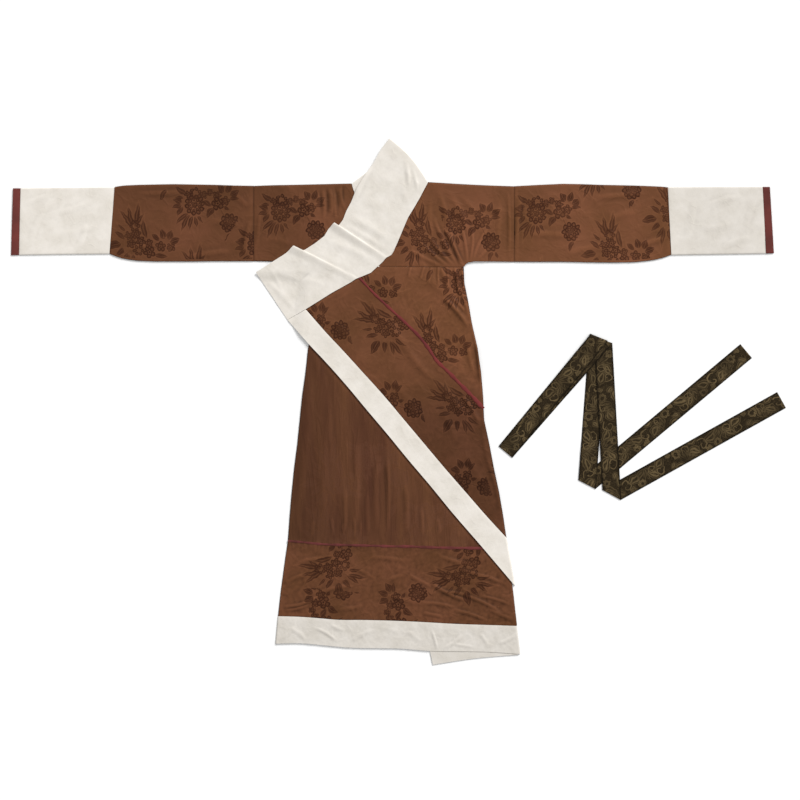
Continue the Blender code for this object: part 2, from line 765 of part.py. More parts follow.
def belt(brocade):
    """The belt, doubled, folded over at the top and turned out to the right at the bottom."""
    line = np.asarray(BELT_LINE, float)
    ways = np.diff(line, axis=0)
    ways /= np.linalg.norm(ways, axis=1)[:, None]
    half = BELT_WIDTH / 2
    sides = np.array([1.0, -1.0])
    ends = []
    for k, point in enumerate(line):
        before, after = ways[max(k - 1, 0)], ways[min(k, len(ways) - 1)]
        if k in (0, len(line) - 1):
            fold_line = np.array([-after[1], after[0]])
        else:
            normal = before - after
            fold_line = np.array([-normal[1], normal[0]]) / np.linalg.norm(normal)
        ends.append((point, fold_line))
    rows, handed = [], 1.0
    for k, way in enumerate(ways):
        square = np.array([-way[1], way[0]]) * handed
        layers = np.asarray(BELT_LAYERS[k], float)
        corners = []
        for point, fold_line in ends[k : k + 2]:
            reach = half / (fold_line @ square)
            corners.append([point + fold_line * reach * side for side in sides])
        corners = np.array(corners)
        shrink = []
        for end in (0, 1):
            is_cut = (k == 0 and end == 0) or (k == len(ways) - 1 and end == 1)
            here = BELT_LAYERS[k][-1 if end else 0][1]
            other = k + (1 if end else -1)
            radius = 0.0 if is_cut else BELT_PITCH / 2 * abs(BELT_LAYERS[other][0 if end else -1][1] - here)
            shrink.append(0.0 if is_cut else radius + BELT / 2)
            point, fold_line = ends[k + end]
            out = np.array([-fold_line[1], fold_line[0]])
            out *= np.sign(out @ (way if end else -way))
            corners[end] -= out * shrink[-1]
            if end:
                exit_way, exit_radius = out, radius
        for share in np.linspace(0, 1, 11):
            place = corners[0] * (1 - share) + corners[1] * share
            height = BELT / 2 + BELT_PITCH * np.interp(share, layers[:, 0], layers[:, 1])
            rows.append([(*place[0], height), (*place[1], height)])
        if k < len(ways) - 1:
            start = BELT_LAYERS[k][-1][1]
            rising = np.sign(BELT_LAYERS[k + 1][0][1] - start)
            for angle in np.linspace(0, math.pi, 6)[1:-1]:
                place = corners[1] + exit_way * exit_radius * math.sin(angle)
                height = BELT / 2 + BELT_PITCH * start + rising * exit_radius * (1 - math.cos(angle))
                rows.append([(*place[0], height), (*place[1], height)])
        handed = -handed
    middle = np.array(rows)
    middle = np.stack([middle[:, 0], middle.mean(axis=1), middle[:, 1]], axis=1)
    closed_wall("belt", middle, turned_normals(middle), BELT, brocade)


def build():
    clear_scene()
    silk = material("figured_silk", (0.17, 0.072, 0.036), 0.5)
    plain = material("plain_silk", (0.115, 0.052, 0.03), 0.55)
    cream = material("cream_cloth", (0.78, 0.74, 0.68), 0.75)
    maroon = material("maroon_cloth", (0.2, 0.045, 0.045), 0.6)
    brocade = material("belt_brocade", (0.06, 0.045, 0.022), 0.5)
    back(silk, cream)
    sleeves(silk, cream, maroon)
    under_wrap(silk, plain, cream, maroon)
    over_wrap(silk, cream, maroon)
    collar(cream)
    belt(brocade)


build()
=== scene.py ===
"""The looks of a long-sleeved, cross-collared robe of figured silk, laid out flat with its belt.

Lengths in the tables are millimetres; meshes are made in metres. +Y is towards the neck and +Z is up.
"""

import math

import bpy
import numpy as np
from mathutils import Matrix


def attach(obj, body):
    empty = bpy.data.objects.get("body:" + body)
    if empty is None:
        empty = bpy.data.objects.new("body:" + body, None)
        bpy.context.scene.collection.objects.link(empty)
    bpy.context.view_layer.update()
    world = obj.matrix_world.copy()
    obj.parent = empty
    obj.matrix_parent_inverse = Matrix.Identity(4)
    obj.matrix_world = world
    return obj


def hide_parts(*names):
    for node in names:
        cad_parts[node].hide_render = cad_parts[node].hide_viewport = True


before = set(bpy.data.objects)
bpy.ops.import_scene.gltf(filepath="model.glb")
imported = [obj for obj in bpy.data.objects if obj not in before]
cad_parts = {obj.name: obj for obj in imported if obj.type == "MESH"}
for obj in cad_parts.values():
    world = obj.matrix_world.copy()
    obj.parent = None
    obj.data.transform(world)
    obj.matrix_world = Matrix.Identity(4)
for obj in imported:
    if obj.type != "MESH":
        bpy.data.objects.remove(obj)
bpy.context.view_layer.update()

# Back of the robe. The bodice and skirt are figured silk and the hem border is doubled cream cloth, all
# seamed flat. They lie on the floor under everything else, just inside the folds of the front.

MM = 0.001
SILK, BAND = 1.2, 1.6  # thickness of a layer of silk, and of the doubled cream cloth
HALF_SEAM = 0.15
SEAM_DIP, SEAM_REACH = 1.3, 3.4  # how deep a seam draws the silk in, and how far from it
BACK_INSET = 3.5  # how far the back stays inside the folds of the front
FOLD_REACH, FOLD_POINTS = 3.5, 6  # how far in from a fold the cloth starts to turn down, and its points
WAIST_Y, NECK_SEAM_Y = 386.0, 616.5
SLEEVE_SEAM_LEFT, SLEEVE_SEAM_RIGHT = -416.0, 334.0

# Columns: y, x of the left fold, x of the right fold.
SIDE_FOLDS = np.array(
    [
        (386, -220, 189), (340, -228, 191), (291, -236, 201), (222, -247, 213), (153, -260, 229),
        (84, -267, 239), (14, -277, 245), (-55, -284, 248), (-124, -291, 263), (-193, -300, 276),
        (-262, -307, 291), (-332, -313, 303), (-401, -318, 313), (-470, -328, 320),
        (-545, -338, 331), (-633, -348, 341), (-725, -354, 352),
    ],
    float,
)
LEFT_SHOULDER = ((SLEEVE_SEAM_LEFT, 620), (-365, 622), (-312, 623), (-225, 625), (-135, 627))
LEFT_UNDERARM = ((SLEEVE_SEAM_LEFT, 403), (-355, 402), (-300, 401), (-250, 398), (-220, 386))
RIGHT_SHOULDER = ((87, 631), (121, 629), (170, 626), (250, 622), (SLEEVE_SEAM_RIGHT, 619))
RIGHT_UNDERARM = ((189, 386), (193, 393), (201, 399), (219, 402), (279, 402), (SLEEVE_SEAM_RIGHT, 401))
HEM_SEAM = (
    (-347, -620), (-279, -622), (-225, -626), (-179, -630), (-96, -631), (-14, -633),
    (74, -637), (162, -642), (250, -645), (342, -648),
)
HEM_EDGE = (
    (-354, -699), (-279, -698), (-211, -704), (-144, -710), (-60, -712), (3, -713),
    (95, -720), (178, -721), (268, -723), (352, -729),
)
# Soft creases pressed into the back. Columns: start x, y, end x, y, half width, height, sideways bow.
BACK_CREASES = (
    (-150, 590, -170, 420, 16, 0.9, 6), (60, 600, 40, 430, 20, 1.0, -8),
    (-300, 600, -240, 430, 14, 0.7, 5), (-180, 370, -210, -150, 24, 1.1, 14),
    (-40, 375, -60, 40, 18, 1.0, -10), (110, 370, 160, -90, 22, 1.1, 12),
    (-100, -100, -130, -600, 26, 1.2, -16), (60, -60, 90, -590, 20, 1.0, 14),
    (200, -180, 240, -600, 24, 1.1, 8), (-250, -520, -120, -560, 14, 0.8, 6),
    (20, -590, 190, -540, 16, 0.9, -8),
)


def smooth_line(points, count):
    """Points along a curve through the given ones, evenly spaced by length: between two of them it is
    the cubic that has their mean slopes at its ends."""
    points = np.asarray(points, float)
    length = np.r_[0.0, np.cumsum(np.linalg.norm(np.diff(points, axis=0), axis=1))]
    slope = np.gradient(points, length, axis=0)
    at = np.linspace(0.0, length[-1], count)
    span = np.clip(np.searchsorted(length, at, side="right") - 1, 0, len(points) - 2)
    step = (length[span + 1] - length[span])[:, None]
    t = (at - length[span])[:, None] / step
    return (
        points[span] * (1 + 2 * t) * (1 - t) ** 2
        + slope[span] * step * t * (1 - t) ** 2
        + points[span + 1] * t**2 * (3 - 2 * t)
        + slope[span + 1] * step * t**2 * (t - 1)
    )


def side_fold(side, top, bottom, count=60):
    """Points up the body's left or right fold, from y = bottom to y = top."""
    y = np.linspace(bottom, top, count)
    x = np.interp(-y, -SIDE_FOLDS[:, 0], SIDE_FOLDS[:, 1 if side == "left" else 2])
    return np.stack([x, y], axis=1)


def lengths(line):
    """Distance of each point of a line from its start."""
    return np.r_[0.0, np.cumsum(np.linalg.norm(np.diff(line, axis=0), axis=1))]


def on_line(line, share):
    """The points of a line at these shares of its length."""
    run = lengths(line)
    return np.stack([np.interp(share * run[-1], run, line[:, k]) for k in (0, 1)], axis=-1)


def skew(line, share, step):
    """How much further than 1 mm a step along the rows takes to come 1 mm in from a slanted edge."""
    along = on_line(line, np.minimum(share + 0.01, 1)) - on_line(line, np.maximum(share - 0.01, 0))
    along /= np.linalg.norm(along, axis=-1, keepdims=True)
    step = step / np.linalg.norm(step, axis=-1, keepdims=True)
    return 1 / np.clip(np.abs(along[:, 0] * step[:, 1] - along[:, 1] * step[:, 0]), 0.4, 1)


def rows_across(span, pitch, kinds, gaps, wall):
    """Where the rows of a panel lie between two of its edges. Each row is at start * skew of one edge
    + end * skew of the other + share * span, and keeps a share of the panel's height: 1 inside, and
    the cosine of the turn where a fold rolls down as a quarter circle."""
    turn = np.linspace(math.pi / 2, 0, FOLD_POINTS)[:-1]
    down = wall / 2 + FOLD_REACH * (1 - np.sin(turn))
    inner = [wall / 2 + FOLD_REACH if k == "fold" else gap for k, gap in zip(kinds, gaps)]
    share = np.linspace(0, 1, max(4, int(span / pitch) + 1))
    start, end, keep = inner[0] * (1 - share), -inner[1] * share, np.ones(len(share))
    if kinds[0] == "fold":
        start, end, share = np.r_[down, start], np.r_[down * 0, end], np.r_[down * 0, share]
        keep = np.r_[np.cos(turn), keep]
    if kinds[1] == "fold":
        down = down[::-1]
        start, end, share = np.r_[start, down * 0], np.r_[end, -down], np.r_[share, down * 0 + 1]
        keep = np.r_[keep, np.cos(turn)[::-1]]
    return start, end, share, keep


def left_of(way):
    """A direction, or an array of them, turned a quarter to the left."""
    return np.stack([-way[..., 1], way[..., 0]], axis=-1)


def beside_line(place, x0, y0, x1, y1):
    """Where places lie by a straight line: how far along it, as a share of its length, how far to its
    left, and which way its left is."""
    run = np.array([x1 - x0, y1 - y0], float)
    length = np.linalg.norm(run)
    run /= length
    offset = place - np.array([x0, y0], float)
    return offset @ run / length, offset @ left_of(run), left_of(run)


def creased(place, creases):
    """Height of soft creases: each is a bell across its width along a line that bows to one side as a
    parabola, and it fades over the first and last third of its length."""
    height = np.zeros(place.shape[:-1])
    for x0, y0, x1, y1, half_width, rise, bow in creases:
        along, aside, _ = beside_line(place, x0, y0, x1, y1)
        along = np.clip(along, -0.2, 1.2)
        aside = (aside - bow * 4 * along * (1 - along)) / half_width
        window = np.clip(along * 3, 0, 1) * np.clip((1 - along) * 3, 0, 1)
        height += rise * np.exp(-(aside**2)) * window**2 * (3 - 2 * window)
    return height


def uneven(place, seed, wave, height, stretch=(1.0, 1.0)):
    """Gentle unevenness: a sum of bent sines that run in random directions, of lengths near wave.
    Stretch below 1 draws it out in x or in y."""
    draw = np.random.default_rng(seed)
    total = np.zeros(place.shape[:-1])
    x, y = place[..., 0] * stretch[0], place[..., 1] * stretch[1]
    for size in (1.0, 0.74, 0.55, 0.41, 0.3, 0.22):
        heading, phase = draw.uniform(0, 2 * math.pi, 2)
        rate = 2 * math.pi / (wave * size)
        across = x * math.cos(heading) + y * math.sin(heading)
        other = x * math.sin(heading) - y * math.cos(heading)
        bent = 1.7 * np.sin(across * rate * 0.37 + phase * 3)
        total += size * np.sin(across * rate + phase + bent + 1.3 * np.sin(other * rate * 0.6 + phase))
    return total * height / 2.2


def cells(ids):
    """The four corners of each cell of a grid of point numbers."""
    return np.stack([ids[:-1, :-1], ids[1:, :-1], ids[1:, 1:], ids[:-1, 1:]], axis=-1).reshape(-1, 4)


def turned(place, degrees):
    """Places as read along axes that are turned by this many degrees."""
    angle = math.radians(degrees)
    u = place[..., 0] * math.cos(angle) + place[..., 1] * math.sin(angle)
    v = place[..., 1] * math.cos(angle) - place[..., 0] * math.sin(angle)
    return np.stack([u, v], axis=-1)


def on_sprays(corners, sprays):
    """Where the corners of each face lie on the plane the two sprays are drawn on. A face takes the
    spray whose middle is nearest to its own, in that spray's axes; far from all it takes bare cloth."""
    middle = corners.mean(axis=1)
    best = np.full(len(corners), SPRAY_REACH)
    place = np.full(corners.shape, -BARE_CLOTH)
    for kind, x, y, turn in sprays:
        local = turned(middle - np.array([x, y], float), turn)
        distance = np.linalg.norm(local - np.array(SPRAY_MIDDLE[kind]), axis=1)
        near = distance < best
        best = np.where(near, distance, best)
        shift = np.array([SPRAY_APART if kind == "B" else 0.0, 0.0])
        place[near] = turned(corners[near] - np.array([x, y], float), turn) + shift
    return place


def hollows(height):
    """How far each point of a grid lies below the mean of the points round it, in millimetres: the
    mean is of three neighbours each way, taken three times over."""
    mean = height
    for _ in range(3):
        mean = np.pad(mean, 1, mode="edge")
        mean = (mean[:-2] + mean[1:-1] + mean[2:]) / 3
        mean = (mean[:, :-2] + mean[:, 1:-1] + mean[:, 2:]) / 3
    return mean - height


def make_cloth(name, points, hollow, faces, corners, finish, turn=0, sprays=()):
    """A named mesh from points in millimetres, quads, and the place of each quad's corners on the
    flat cloth. It has that place along the threads, the place on the sprays, and each point's hollow."""
    mesh = bpy.data.meshes.new(name)
    mesh.from_pydata((points * MM).tolist(), [], faces.tolist())
    depth = mesh.attributes.new("hollow", "FLOAT", "POINT")
    depth.data.foreach_set("value", hollow.astype(np.float32).ravel())
    for layer, place in (("cloth", turned(corners, turn)), ("figure", on_sprays(corners, sprays))):
        mesh.uv_layers.new(name=layer).data.foreach_set("uv", (place * MM).astype(np.float32).ravel())
    mesh.shade_smooth()
    mesh.set_sharp_from_angle(angle=math.radians(60))
    mesh.materials.append(finish)
    piece = bpy.data.objects.new(name, mesh)
    bpy.context.scene.collection.objects.link(piece)
    return piece


def normals_of(middle, flips=False):
    """Unit normals of a grid of points. They point up all over, or up at the first row only where the
    cloth turns right over."""
    normal = np.cross(np.gradient(middle, axis=0), np.gradient(middle, axis=1))
    normal /= np.linalg.norm(normal, axis=2)[:, :, None]
    return normal * np.sign(normal[0, 0, 2] if flips else normal[:, :, 2].sum())


def sheet_of_cloth(name, middle, place, wall, finish, turn=0, sprays=(), flips=False):
    """A closed sheet: half its wall on each side of a grid of points, and a rim round its edge."""
    normal = normals_of(middle, flips)
    if np.cross(middle[1, 0] - middle[0, 0], middle[0, 1] - middle[0, 0]) @ normal[0, 0] < 0:
        middle, normal, place = middle[::-1], normal[::-1], place[::-1]
    upper, lower = middle + normal * wall / 2, middle - normal * wall / 2
    ids = np.arange(middle[..., 0].size).reshape(middle.shape[:2])
    rim = np.r_[ids[:-1, 0], ids[-1, :-1], ids[:0:-1, -1], ids[0, :0:-1]]
    after = np.roll(rim, -1)
    sides = np.stack([rim, rim + ids.size, after + ids.size, after], axis=1)
    faces = np.concatenate([cells(ids), cells(ids)[:, ::-1] + ids.size, sides])
    points = np.concatenate([upper.reshape(-1, 3), lower.reshape(-1, 3)])
    places = np.concatenate([place.reshape(-1, 2)] * 2)
    hollow = np.concatenate([hollows(middle[..., 2])] * 2)
    return make_cloth(name, points, hollow, faces, places[faces], finish, turn, sprays)


def panel(
    name, edges, kinds, base, wall, finish, turn=0, sprays=(), pitch=3.0, gaps=(HALF_SEAM,) * 4, relief=None
):
    """A sewn panel that lies on what is under it. Its plan is the Coons surface of its four edges
    (left and right run up, bottom and top run right): the sum of both rulings less the ruling of the
    corners. Its rows are a pitch apart, or one pitch across and one up. Its height is its base, a
    number or a function of place, and its relief, times what each row keeps at a fold. A seamed edge
    dips as an exponential of the distance from it."""
    left, right, bottom, top = (np.asarray(line, float) for line in edges)
    wide = max(lengths(bottom)[-1], lengths(top)[-1])
    high = max(lengths(left)[-1], lengths(right)[-1])
    across, upward = np.broadcast_to(pitch, 2)
    us, ue, uq, keep_u = rows_across(wide, across, kinds[:2], gaps[:2], wall)
    vs, ve, vq, keep_v = rows_across(high, upward, kinds[2:], gaps[2:], wall)
    low, up = on_line(bottom, uq), on_line(top, uq)
    near, far = on_line(left, vq), on_line(right, vq)
    width = np.linalg.norm(far - near, axis=1)
    height = np.linalg.norm(up - low, axis=1)[:, None]
    slant_left, slant_right = skew(left, vq, far - near), skew(right, vq, far - near)
    slant_low, slant_up = skew(bottom, uq, up - low)[:, None], skew(top, uq, up - low)[:, None]
    u = (us[:, None] * slant_left + ue[:, None] * slant_right) / width + uq[:, None]
    v = (vs[None] * slant_low + ve[None] * slant_up) / height + vq[None]
    uu, vv = u[..., None], v[..., None]
    corners = (
        (1 - uu) * (1 - vv) * left[0] + uu * (1 - vv) * right[0]
        + (1 - uu) * vv * left[-1] + uu * vv * right[-1]
    )
    plan = (
        (1 - uu) * on_line(left, v) + uu * on_line(right, v)
        + (1 - vv) * on_line(bottom, u) + vv * on_line(top, u) - corners
    )
    keep = keep_u[:, None] * keep_v[None]
    under = base(plan) if callable(base) else np.full(keep.shape, float(base))
    if relief is not None:
        under = under + relief(plan)
    for distance, kind in zip((u * width, (1 - u) * width, v * height, (1 - v) * height), kinds):
        if kind == "seam":
            under = under - SEAM_DIP * (SILK / wall) ** 2 * np.exp(-np.abs(distance) / SEAM_REACH)
    z = wall / 2 + np.maximum(under, 0) * keep
    middle = np.concatenate([plan, z[..., None]], axis=2)
    return sheet_of_cloth(name, middle, plan, wall, finish, turn, sprays)


def declare(piece):
    """Hangs a laid piece on the root body and hides the solid it stands for."""
    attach(piece, "root")
    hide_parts(piece.name.replace("robe_", ""))


def feed(tree, sockets, values):
    """Links each socket to the output it is given, or sets it to the number, triple or colour."""
    for socket, value in zip(sockets, values):
        if isinstance(value, bpy.types.NodeSocket):
            tree.links.new(value, socket)
        else:
            socket.default_value = value


def number(tree, operation, *inputs, clamp=False):
    """A Math node with these numbers or sockets in, and its result."""
    node = tree.nodes.new("ShaderNodeMath")
    node.operation, node.use_clamp = operation, clamp
    feed(tree, node.inputs, inputs)
    return node.outputs[0]


def product(tree, first, second):
    """first * second."""
    return number(tree, "MULTIPLY", first, second)


def ramp(tree, value, slope, start, clamp=False):
    """value * slope + start, kept between 0 and 1 where it is clamped."""
    return number(tree, "MULTIPLY_ADD", value, slope, start, clamp=clamp)


def vector(tree, operation, *inputs):
    """A Vector Math node with these triples or sockets in, and its result."""
    node = tree.nodes.new("ShaderNodeVectorMath")
    node.operation = operation
    feed(tree, node.inputs, inputs)
    return node.outputs["Value" if operation in ("DOT_PRODUCT", "LENGTH") else "Vector"]


def shape_group(name, inputs, draw):
    """A node group with number inputs X and Y, more named ones, and a Mask out, which draw wires."""
    tree = bpy.data.node_groups.new(name, "ShaderNodeTree")
    for label in ("X", "Y", *inputs):
        tree.interface.new_socket(label, in_out="INPUT", socket_type="NodeSocketFloat")
    tree.interface.new_socket("Mask", in_out="OUTPUT", socket_type="NodeSocketFloat")
    start = tree.nodes.new("NodeGroupInput")
    mask = draw(tree, *start.outputs[: len(inputs) + 2])
    tree.links.new(mask, tree.nodes.new("NodeGroupOutput").inputs[0])
    return tree


def draw_leaf(tree, x, y, width, bend, lines):
    """A leaf from x = 0 to 1 that is widest near its base: 1 where |y + bend x(1-x)| is less than about
    2 width x(1-x), down to below 0 outside, with a bare midrib, and with as many bare rings inside as
    lines asks for."""
    bulge = number(tree, "SUBTRACT", x, product(tree, x, x))
    side = number(tree, "ABSOLUTE", ramp(tree, bulge, bend, y))
    slim = number(tree, "MAXIMUM", ramp(tree, x, -0.8, 1.4), 0.3)
    reach = product(tree, product(tree, bulge, width), slim)
    inside = ramp(tree, side, -0.5, reach)
    fill = number(tree, "MINIMUM", product(tree, inside, 60.0), 1.0)
    rib = ramp(tree, side, 30.0, 0.1, clamp=True)
    wave = number(tree, "COSINE", product(tree, inside, 70.0))
    rings = ramp(tree, number(tree, "SUBTRACT", wave, 1.0), product(tree, lines, 0.5), 1.0)
    return number(tree, "MINIMUM", fill, product(tree, rib, rings))


def radius_of(tree, x, y):
    """Distance of a place from the middle."""
    return number(tree, "SQRT", ramp(tree, x, x, product(tree, y, y)))


def polar(tree, x, y):
    """Radius and angle of a place."""
    return radius_of(tree, x, y), number(tree, "ARCTAN2", y, x)


def plain_places(tree, radius, angle):
    """x and y of a radius and an angle."""
    across = product(tree, radius, number(tree, "COSINE", angle))
    return across, product(tree, radius, number(tree, "SINE", angle))


def draw_petal(tree, x, y):
    """A round petal of radius 1, full at its rim, less than half inside, and below 0 outside."""
    radius = radius_of(tree, x, y)
    fill = number(tree, "MINIMUM", ramp(tree, radius, -5.0, 5.0), 1.0)
    return ramp(tree, ramp(tree, radius, -5.0, 2.9, clamp=True), -0.6, fill)


def draw_blossom(tree, x, y):
    """Five petals round a dark eye: the angle wraps at each fifth of a turn."""
    radius, angle = polar(tree, x, y)
    across, up = plain_places(tree, radius, number(tree, "WRAP", angle, math.pi / 5, -math.pi / 5))
    petal = shape(tree, PETAL, ramp(tree, across, 2.5, -1.5), product(tree, up, 2.5))
    eye = number(tree, "MINIMUM", ramp(tree, radius, -14.0, 2.6), 1.0)
    return number(tree, "MAXIMUM", petal, eye)


def draw_scroll(tree, x, y):
    """One turn of a spiral band: where the radius is near 0.55 + 0.13 times the angle."""
    radius, angle = polar(tree, x, y)
    off = number(tree, "ABSOLUTE", number(tree, "SUBTRACT", radius, ramp(tree, angle, 0.13, 0.55)))
    return number(tree, "MINIMUM", ramp(tree, off, -16.0, 1.8), 1.0)


def shape(tree, group, x, y, *settings):
    """One of the shape groups, at x and y, and its mask."""
    node = tree.nodes.new("ShaderNodeGroup")
    node.node_tree = group
    feed(tree, node.inputs, (x, y, *settings))
    return node.outputs[0]


LEAF = shape_group("leaf", ("Width", "Bend", "Lines"), draw_leaf)
PETAL = shape_group("petal", (), draw_petal)
BLOSSOM = shape_group("blossom", (), draw_blossom)
SCROLL = shape_group("scroll", (), draw_scroll)


def placed(tree, cloth, at, turn, size):
    """x and y on a shape of this size at this place, turned by turn degrees."""
    mapping = tree.nodes.new("ShaderNodeMapping")
    mapping.vector_type = "TEXTURE"
    feed(tree, mapping.inputs, (cloth, (*at, 0), (0, 0, math.radians(turn)), (size, size, 1)))
    parts = tree.nodes.new("ShaderNodeSeparateXYZ")
    tree.links.new(mapping.outputs["Vector"], parts.inputs[0])
    return parts.outputs[0], parts.outputs[1]


def ring_of(tree, x, y, count, petal):
    """count petals in a ring inside radius 1, each of radius petal: the angle wraps at each share."""
    radius, angle = polar(tree, x, y)
    half = math.pi / count
    across, up = plain_places(tree, radius, number(tree, "WRAP", angle, half, -half))
    inward = ramp(tree, across, 1 / petal, -(1 - petal) / petal)
    return shape(tree, PETAL, inward, product(tree, up, 1 / petal))


def fan_of(tree, x, y, count, step, draw):
    """count copies in a fan about the x axis, step degrees apart: the angle less its nearest step."""
    radius, angle = polar(tree, x, y)
    step, most = math.radians(step), (count - 1) / 2
    shifted = ramp(tree, angle, 1 / step, most)
    nearest = number(tree, "MINIMUM", number(tree, "MAXIMUM", shifted, 0.0), count - 1.0)
    within = ramp(tree, number(tree, "ROUND", nearest), -step, number(tree, "ADD", angle, most * step))
    return draw(*plain_places(tree, radius, within))


def figure(tree, cloth, shapes, lines=0.0):
    """The woven figure: the most that any of its shapes gives at a place on the cloth. It is 1 on a
    shape and falls below 0 outside; lines draws rings in the leaves."""
    total = None
    for kind, at, turn, size, *more in shapes:
        x, y = placed(tree, cloth, at, turn, size)
        if kind == "leaf":
            mask = shape(tree, LEAF, x, y, *more, lines)
        elif kind == "blossom":
            mask = shape(tree, BLOSSOM, x, y)
        elif kind == "scroll":
            mask = shape(tree, SCROLL, x, y)
        elif kind == "ring":
            mask = ring_of(tree, x, y, *more)
        else:
            count, step, start, width, bend = more

            def one_leaf(a, b, start=start, width=width, bend=bend):
                """A leaf from start to 1 along its own axis."""
                a = ramp(tree, a, 1 / (1 - start), -start / (1 - start))
                return shape(tree, LEAF, a, b, width, bend, lines)

            mask = fan_of(tree, x, y, count, step, one_leaf)
        total = mask if total is None else number(tree, "MAXIMUM", total, mask)
    return total


# Shapes of the two sprays, in millimetres. Columns: kind, middle or base x, y, turn, size, and what that
# kind takes: a leaf its width and bend; a ring its count of petals and their radius as a share of its
# own; a fan its count of leaves, step in degrees, bare start, and their width and bend.
SPRAY_A = (
    ("ring", (0, 0), 8, 31, 10, 0.25),
    ("ring", (0, 0), 20, 21, 9, 0.24),
    ("blossom", (0, 0), 0, 11),
    ("ring", (2, 34), 20, 19, 6, 0.34),
    ("blossom", (-18, 30), 40, 13),
    ("blossom", (26, 30), 10, 13),
    ("blossom", (43, 37), 50, 11),
    ("leaf", (-24, 28), 146, 42, 0.34, 0.2),
    ("leaf", (-32, 18), 170, 26, 0.34, 0.1),
    ("fan", (-26, 2), 194, 42, 3, 36, 0.26, 0.36, 0.1),
    ("leaf", (26, 13), -34, 29, 0.55, 0.2),
    ("leaf", (56, -8), 238, 38, 0.45, 0.5),
    ("blossom", (66, 4), 30, 20),
    ("blossom", (64, 28), 0, 13),
    ("blossom", (88, 12), 10, 15),
    ("fan", (88, 22), 72, 44, 3, 46, 0.32, 0.44, 0.1),
    ("leaf", (100, 18), 2, 28, 0.42, -0.2),
    ("leaf", (84, -2), 320, 24, 0.5, 0.2),
    ("ring", (100, -52), 0, 29, 10, 0.27),
    ("ring", (100, -52), 12, 19, 7, 0.32),
    ("blossom", (100, -52), 30, 9),
    ("leaf", (104, -80), 250, 32, 0.36, 0.2),
    ("leaf", (113, -80), 288, 22, 0.4, 0.0),
    ("leaf", (-18, -24), 222, 52, 0.24, 0.2),
    ("leaf", (-14, -28), 244, 56, 0.22, 0.25),
    ("leaf", (-8, -30), 262, 46, 0.24, 0.2),
    ("leaf", (0, -32), 284, 34, 0.3, 0.1),
    ("leaf", (8, -31), 306, 28, 0.32, 0.0),
    ("leaf", (28, 22), 4, 62, 0.06, -0.3),
    ("leaf", (74, -10), 300, 40, 0.07, 0.3),
    ("leaf", (-82, 48), 246, 44, 0.3, 0.2),
)
SPRAY_B = (
    ("leaf", (6, -10), 58, 46, 0.24, -0.3),
    ("leaf", (2, -8), 80, 70, 0.21, 0.15),
    ("leaf", (-3, -8), 101, 60, 0.22, -0.15),
    ("leaf", (-8, -12), 124, 62, 0.2, 0.3),
    ("leaf", (-22, -22), 138, 34, 0.28, -0.2),
    ("leaf", (38, -42), 98, 60, 0.24, -0.35),
    ("leaf", (-26, -46), 142, 38, 0.36, 0.3),
    ("ring", (3, -6), 0, 18, 6, 0.34),
    ("blossom", (8, -30), 15, 15),
    ("blossom", (-14, -34), 40, 13),
    ("blossom", (-8, -58), 5, 15),
    ("blossom", (20, -50), 60, 15),
    ("blossom", (44, -56), 25, 14),
    ("ring", (14, -77), 0, 17, 6, 0.33),
    ("blossom", (45, -82), 50, 18),
    ("leaf", (74, -50), 138, 32, 0.42, 0.1),
    ("fan", (92, -58), 64, 44, 3, 44, 0.32, 0.44, 0.1),
    ("blossom", (78, -66), 20, 16),
    ("blossom", (107, -69), 45, 14),
    ("leaf", (60, -88), 350, 40, 0.4, 0.2),
    ("leaf", (-36, -60), 188, 48, 0.46, 0.2),
    ("leaf", (-28, -70), 224, 34, 0.46, -0.2),
    ("leaf", (-16, -80), 238, 48, 0.24, -0.2),
    ("leaf", (-10, -84), 258, 60, 0.2, 0.2),
    ("leaf", (-2, -86), 280, 44, 0.24, 0.2),
    ("leaf", (2, -8), 276, 92, 0.05, 0.2),
    ("leaf", (30, -60), -8, 74, 0.05, 0.3),
)
SPRAY_APART, BARE_CLOTH, SPRAY_REACH = 500.0, 500.0, 170.0
SPRAY_MIDDLE = {"A": (22.0, -4.0), "B": (24.0, -40.0)}


ROW_APART, REPEAT = 150, 390  # from row to row, and along a row


def all_over(left, right, bottom, top, turn=0):
    """The sprays of a whole cloth, in rows: each next row is a third of a repeat further on."""
    sprays = []
    for row in range(int(bottom // ROW_APART), int(top // ROW_APART) + 2):
        for step in range(int(left // REPEAT) - 2, int(right // REPEAT) + 2):
            x, y = step * REPEAT + (row % 3) * REPEAT // 3, row * ROW_APART
            sprays += [("A", x, y + 20, turn), ("B", x + REPEAT // 2, y, turn)]
    return sprays


def noise(tree, place, scale, detail=2.0, distortion=0.0):
    """The outputs of a noise of this scale at a place."""
    node = tree.nodes.new("ShaderNodeTexNoise")
    sockets = [node.inputs[key] for key in ("Vector", "Scale", "Detail", "Distortion")]
    feed(tree, sockets, (place, scale, detail, distortion))
    return node.outputs


def mixed(tree, share, first, second, blend="MIX"):
    """Two colours, blended by a share of the second."""
    node = tree.nodes.new("ShaderNodeMix")
    node.data_type, node.blend_type = "RGBA", blend
    feed(tree, (node.inputs[0], node.inputs[6], node.inputs[7]), (share, first, second))
    return node.outputs[2]


def bumped(tree, height, strength, distance):
    """The normals of a surface that is pressed out by a height times this distance."""
    node = tree.nodes.new("ShaderNodeBump")
    sockets = [node.inputs[key] for key in ("Height", "Strength", "Distance")]
    feed(tree, sockets, (height, strength, distance))
    return node.outputs["Normal"]


def new_material(name):
    """A named material, its tree and its shader."""
    made = bpy.data.materials.new(name)
    made.use_nodes = True
    return made, made.node_tree, made.node_tree.nodes["Principled BSDF"]


